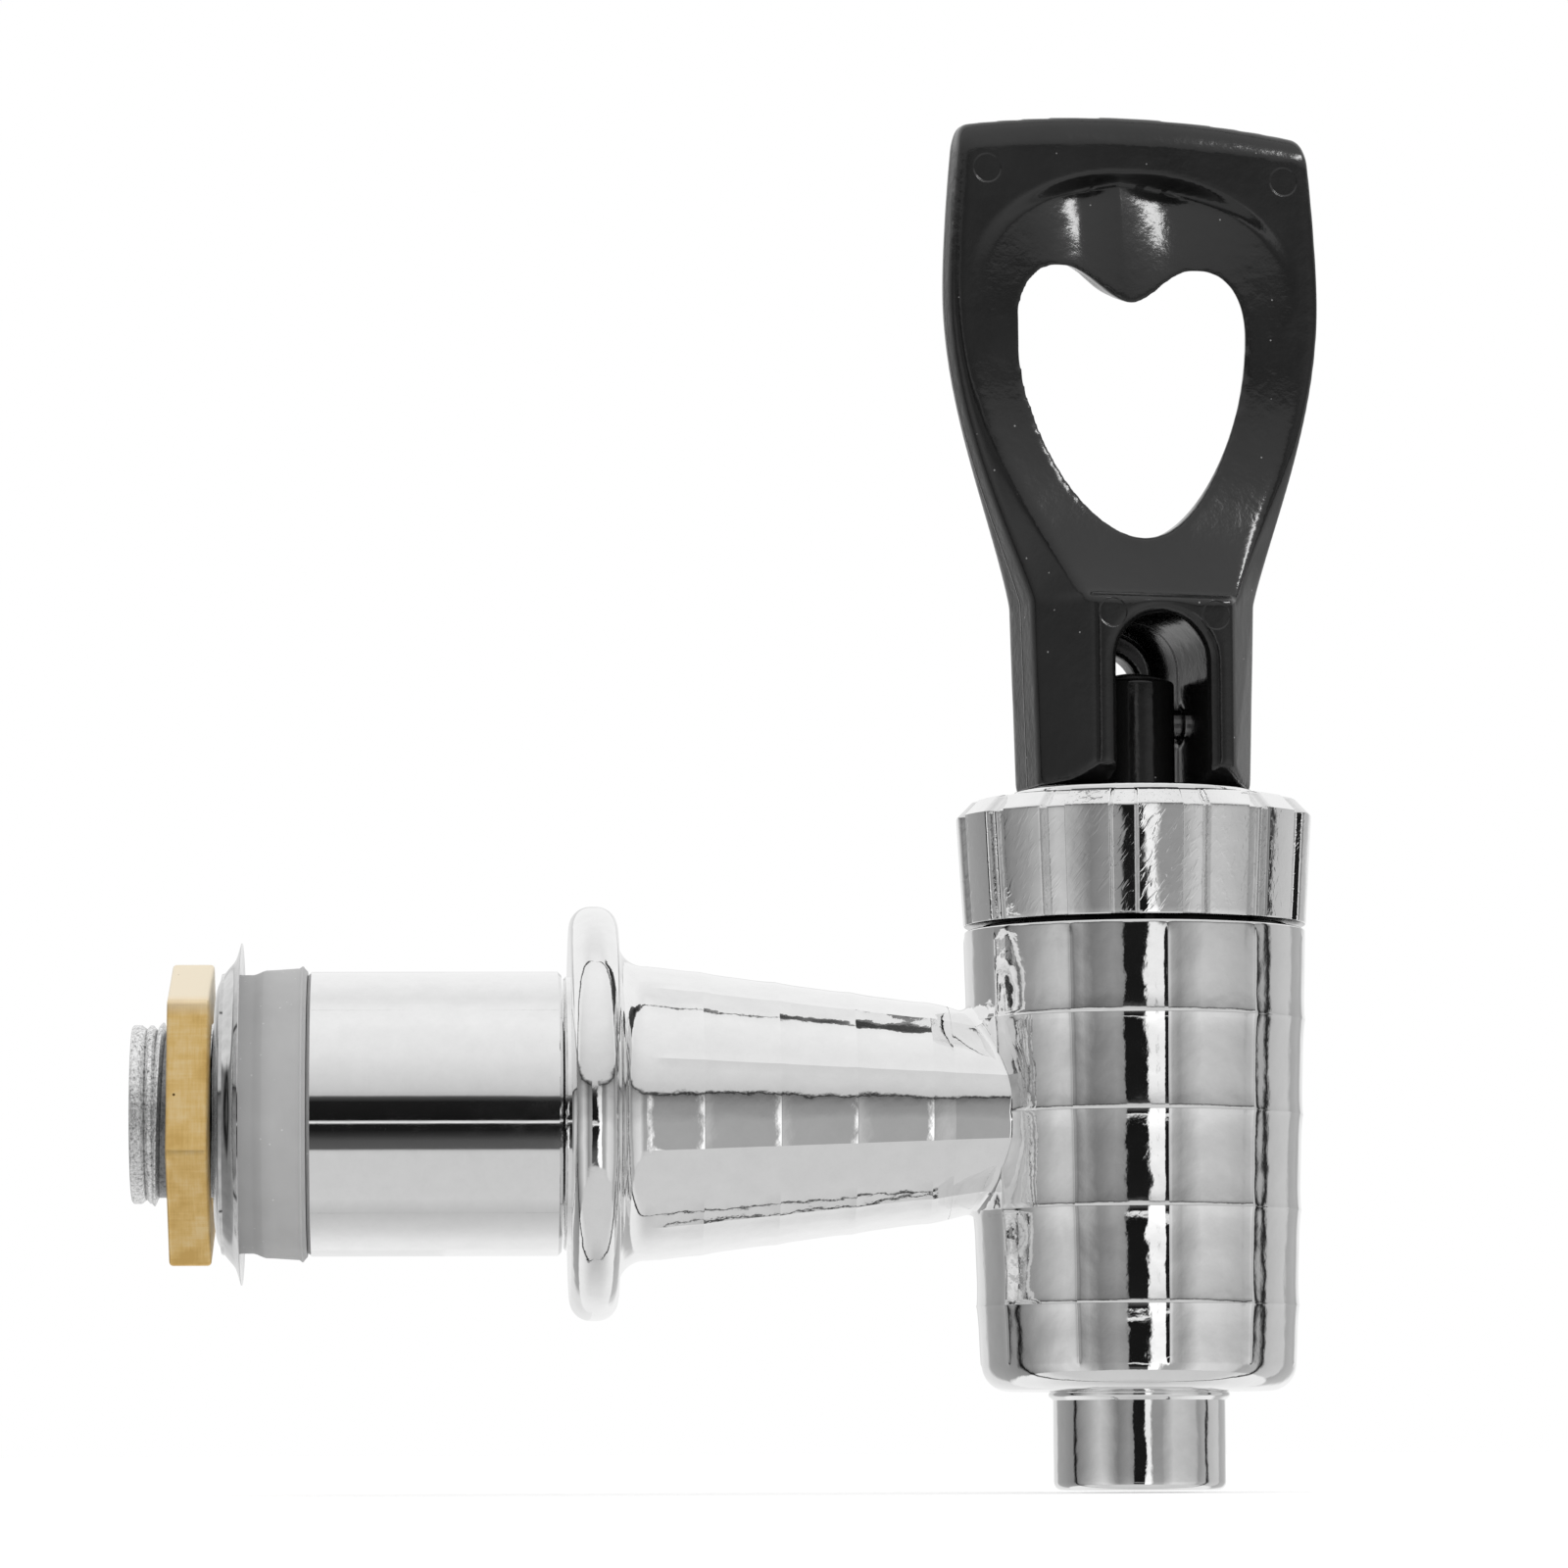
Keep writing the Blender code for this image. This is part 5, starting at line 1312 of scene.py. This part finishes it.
def tent_walls(tree, azimuth, elevation, depth):
    """The cloth walls, darker towards their upper hem at the front, with the camera's slit."""
    cloth = node(tree, "ValToRGB", stops=around(
        (-180, "#d2d2d2"), (-152, "#c6c6c6"), (-146, "#959595"), (-97, "#757575"),
        (-60, "#c6c6c6"), (-50, "#b8b8b8"), (-34, "#7c7c7c"), (-20, "#949494"),
        (-13.8, "#8c8c8c"), (1.8, "#f4f4f4"), (9.6, "#f4f4f4"), (10, "#949494"),
        (24, "#969696"), (40, "#c8c8c8"), (56, "#c2c2c2"), (74, "#b4b4b4"),
        (78, "#969696"), (112, "#b2b2b2"), (124, "#b8b8b8"), (128, "#999999"),
        (150, "#aaaaaa"), (160, "#d9d9d9"),
    ), Fac=azimuth)
    hem = node(tree, "ValToRGB", stops=upwards(
        (-30, "#ffffff"), (-9, "#fcfcfc"), (-2, "#e6e6e6"), (4, "#dadada"), (9, "#c0c0c0"),
        (12, "#a4a4a4"), (12.6, "#5c5c5c"),
    ), Fac=elevation)
    before = node(
        tree, "MapRange", Value=depth, From_Min=-0.15, From_Max=0.15, To_Min=1.0, To_Max=0.2,
    )
    shaded = node(tree, "Mix", **MULTIPLY, Factor=before, A=cloth, B=hem)
    lit = node(tree, "Mix", **MULTIPLY, Factor=1.0, A=shaded, B=[TENT_WALL_LIGHT] * 3 + [1.0])
    slit_here = node(tree, "ValToRGB", stops=around(
        (-14.1, "#000000"), (-13.6, "#ffffff"), (1.8, "#ffffff"), (2.1, "#000000"),
    ), Fac=azimuth)
    slit = node(tree, "ValToRGB", stops=upwards(
        (-33, "#cacaca"), (-31, "#5c5c5c"), (-24, "#505050"), (-20, "#343434"),
        (-16, "#1c1c1c"), (-10.6, "#1c1c1c"), (-10.2, "#f0f0f0"), (-8.6, "#f0f0f0"),
        (-8.2, "#161616"), (7, "#1c1c1c"), (11, "#505050"), (12.5, "#c4c4c4"),
    ), Fac=elevation)
    return node(tree, "Mix", **BLEND, Factor=slit_here, A=lit, B=slit)


def tent_roof(tree, elevation, depth):
    """The bright roof, and the floor under the walls, each a little whiter at the back."""
    front = node(tree, "ValToRGB", stops=upwards(
        (-90, "#c4c4c4"), (-75, "#d4d4d4"), (-36, "#d2d2d2"), (-30, "#c8c8c8"), (14, "#cacaca"),
        (22, "#d6d6d6"), (45, "#ececec"), (75, "#f8f8f8"), (90, "#f8f8f8"),
    ), Fac=elevation)
    back = node(tree, "ValToRGB", stops=upwards(
        (-90, "#c4c4c4"), (-70, "#d8d8d8"), (-50, "#f0f0f0"), (-20, "#fcfcfc"), (50, "#fafafa"),
        (75, "#eeeeee"), (90, "#f6f6f6"),
    ), Fac=elevation)
    behind = node(tree, "MapRange", Value=depth, From_Min=-0.15, From_Max=0.15)
    return node(tree, "Mix", **BLEND, Factor=behind, A=front, B=back)


def make_tent():
    """The tent as a world: mirrored by metal, even light for the rest, white behind."""
    world = bpy.data.worlds.new("light tent")
    bpy.context.scene.world = world
    world.use_nodes = True
    tree = world.node_tree
    tree.nodes.clear()
    way = node(tree, "TexCoord", out="Generated")
    x, y, z = node(tree, "SeparateXYZ", Vector=way).node.outputs
    forwards = node(tree, "Math", operation="MULTIPLY", _0=y, _1=-1.0)
    turn = node(tree, "Math", operation="ARCTAN2", _0=x, _1=forwards)
    azimuth = node(tree, "Math", operation="MULTIPLY_ADD", _0=turn, _1=0.5 / math.pi, _2=0.5)
    rise = node(tree, "Math", operation="ARCSINE", _0=z)
    elevation = node(tree, "Math", operation="MULTIPLY_ADD", _0=rise, _1=1 / math.pi, _2=0.5)
    wall_here = node(tree, "ValToRGB", stops=upwards(
        (-34, "#000000"), (-31, "#ffffff"), (13.6, "#ffffff"), (15.5, "#000000"),
    ), Fac=elevation)
    seams = node(tree, "ValToRGB", stops=around(
        (-106, "#ffffff"), (-103, "#3c3c3c"), (-101, "#3c3c3c"), (-98, "#ffffff"),
        (92, "#ffffff"), (95, "#3c3c3c"), (97, "#3c3c3c"), (100, "#ffffff"),
    ), Fac=azimuth)
    roof = tent_roof(tree, elevation, y)
    walls = tent_walls(tree, azimuth, elevation, y)
    unseamed = node(tree, "Mix", **BLEND, Factor=wall_here, A=roof, B=walls)
    mirrored = node(tree, "Mix", **MULTIPLY, Factor=1.0, A=unseamed, B=seams)
    plain = node(tree, "Background", Color=linear("#f4f4f4"), Strength=TENT_LIGHT)
    tent = node(tree, "Background", Color=mirrored, Strength=1.0)
    white = node(tree, "Background", Color=linear("#ffffff"), Strength=1.0)
    ray = node(tree, "LightPath").node.outputs
    lit = node(tree, "MixShader", Fac=ray["Is Glossy Ray"], _1=plain, _2=tent)
    seen = node(tree, "MixShader", Fac=ray["Is Camera Ray"], _1=lit, _2=white)
    node(tree, "OutputWorld", Surface=seen)


make_tent()

LAMP_SIZE = (0.46, 0.11)
LAMP_WATTS = 2.4
LAMP_AZIMUTH = math.radians(61.0)
LAMP_ELEVATION = math.radians(35.0)
LAMP_AIM_Z = 0.080


def gloss_lamp(receiver):
    """A long soft box, a metre out to the front right, that only the black plastic mirrors."""
    way = Vector((
        math.sin(LAMP_AZIMUTH) * math.cos(LAMP_ELEVATION),
        -math.cos(LAMP_AZIMUTH) * math.cos(LAMP_ELEVATION), math.sin(LAMP_ELEVATION),
    ))
    light = bpy.data.lights.new("soft box", "AREA")
    light.shape = "RECTANGLE"
    light.size, light.size_y = LAMP_SIZE
    light.energy = LAMP_WATTS
    lamp = bpy.data.objects.new("soft box", light)
    bpy.context.scene.collection.objects.link(lamp)
    place = Matrix.Translation(Vector((CHAMBER_X, 0.0, LAMP_AIM_Z)) + way)
    lamp.matrix_world = place @ way.to_track_quat("Z", "Y").to_matrix().to_4x4()
    lit = bpy.data.collections.new("black plastic only")
    lit.objects.link(receiver)
    lamp.light_linking.receiver_collection = lit


gloss_lamp(handle)
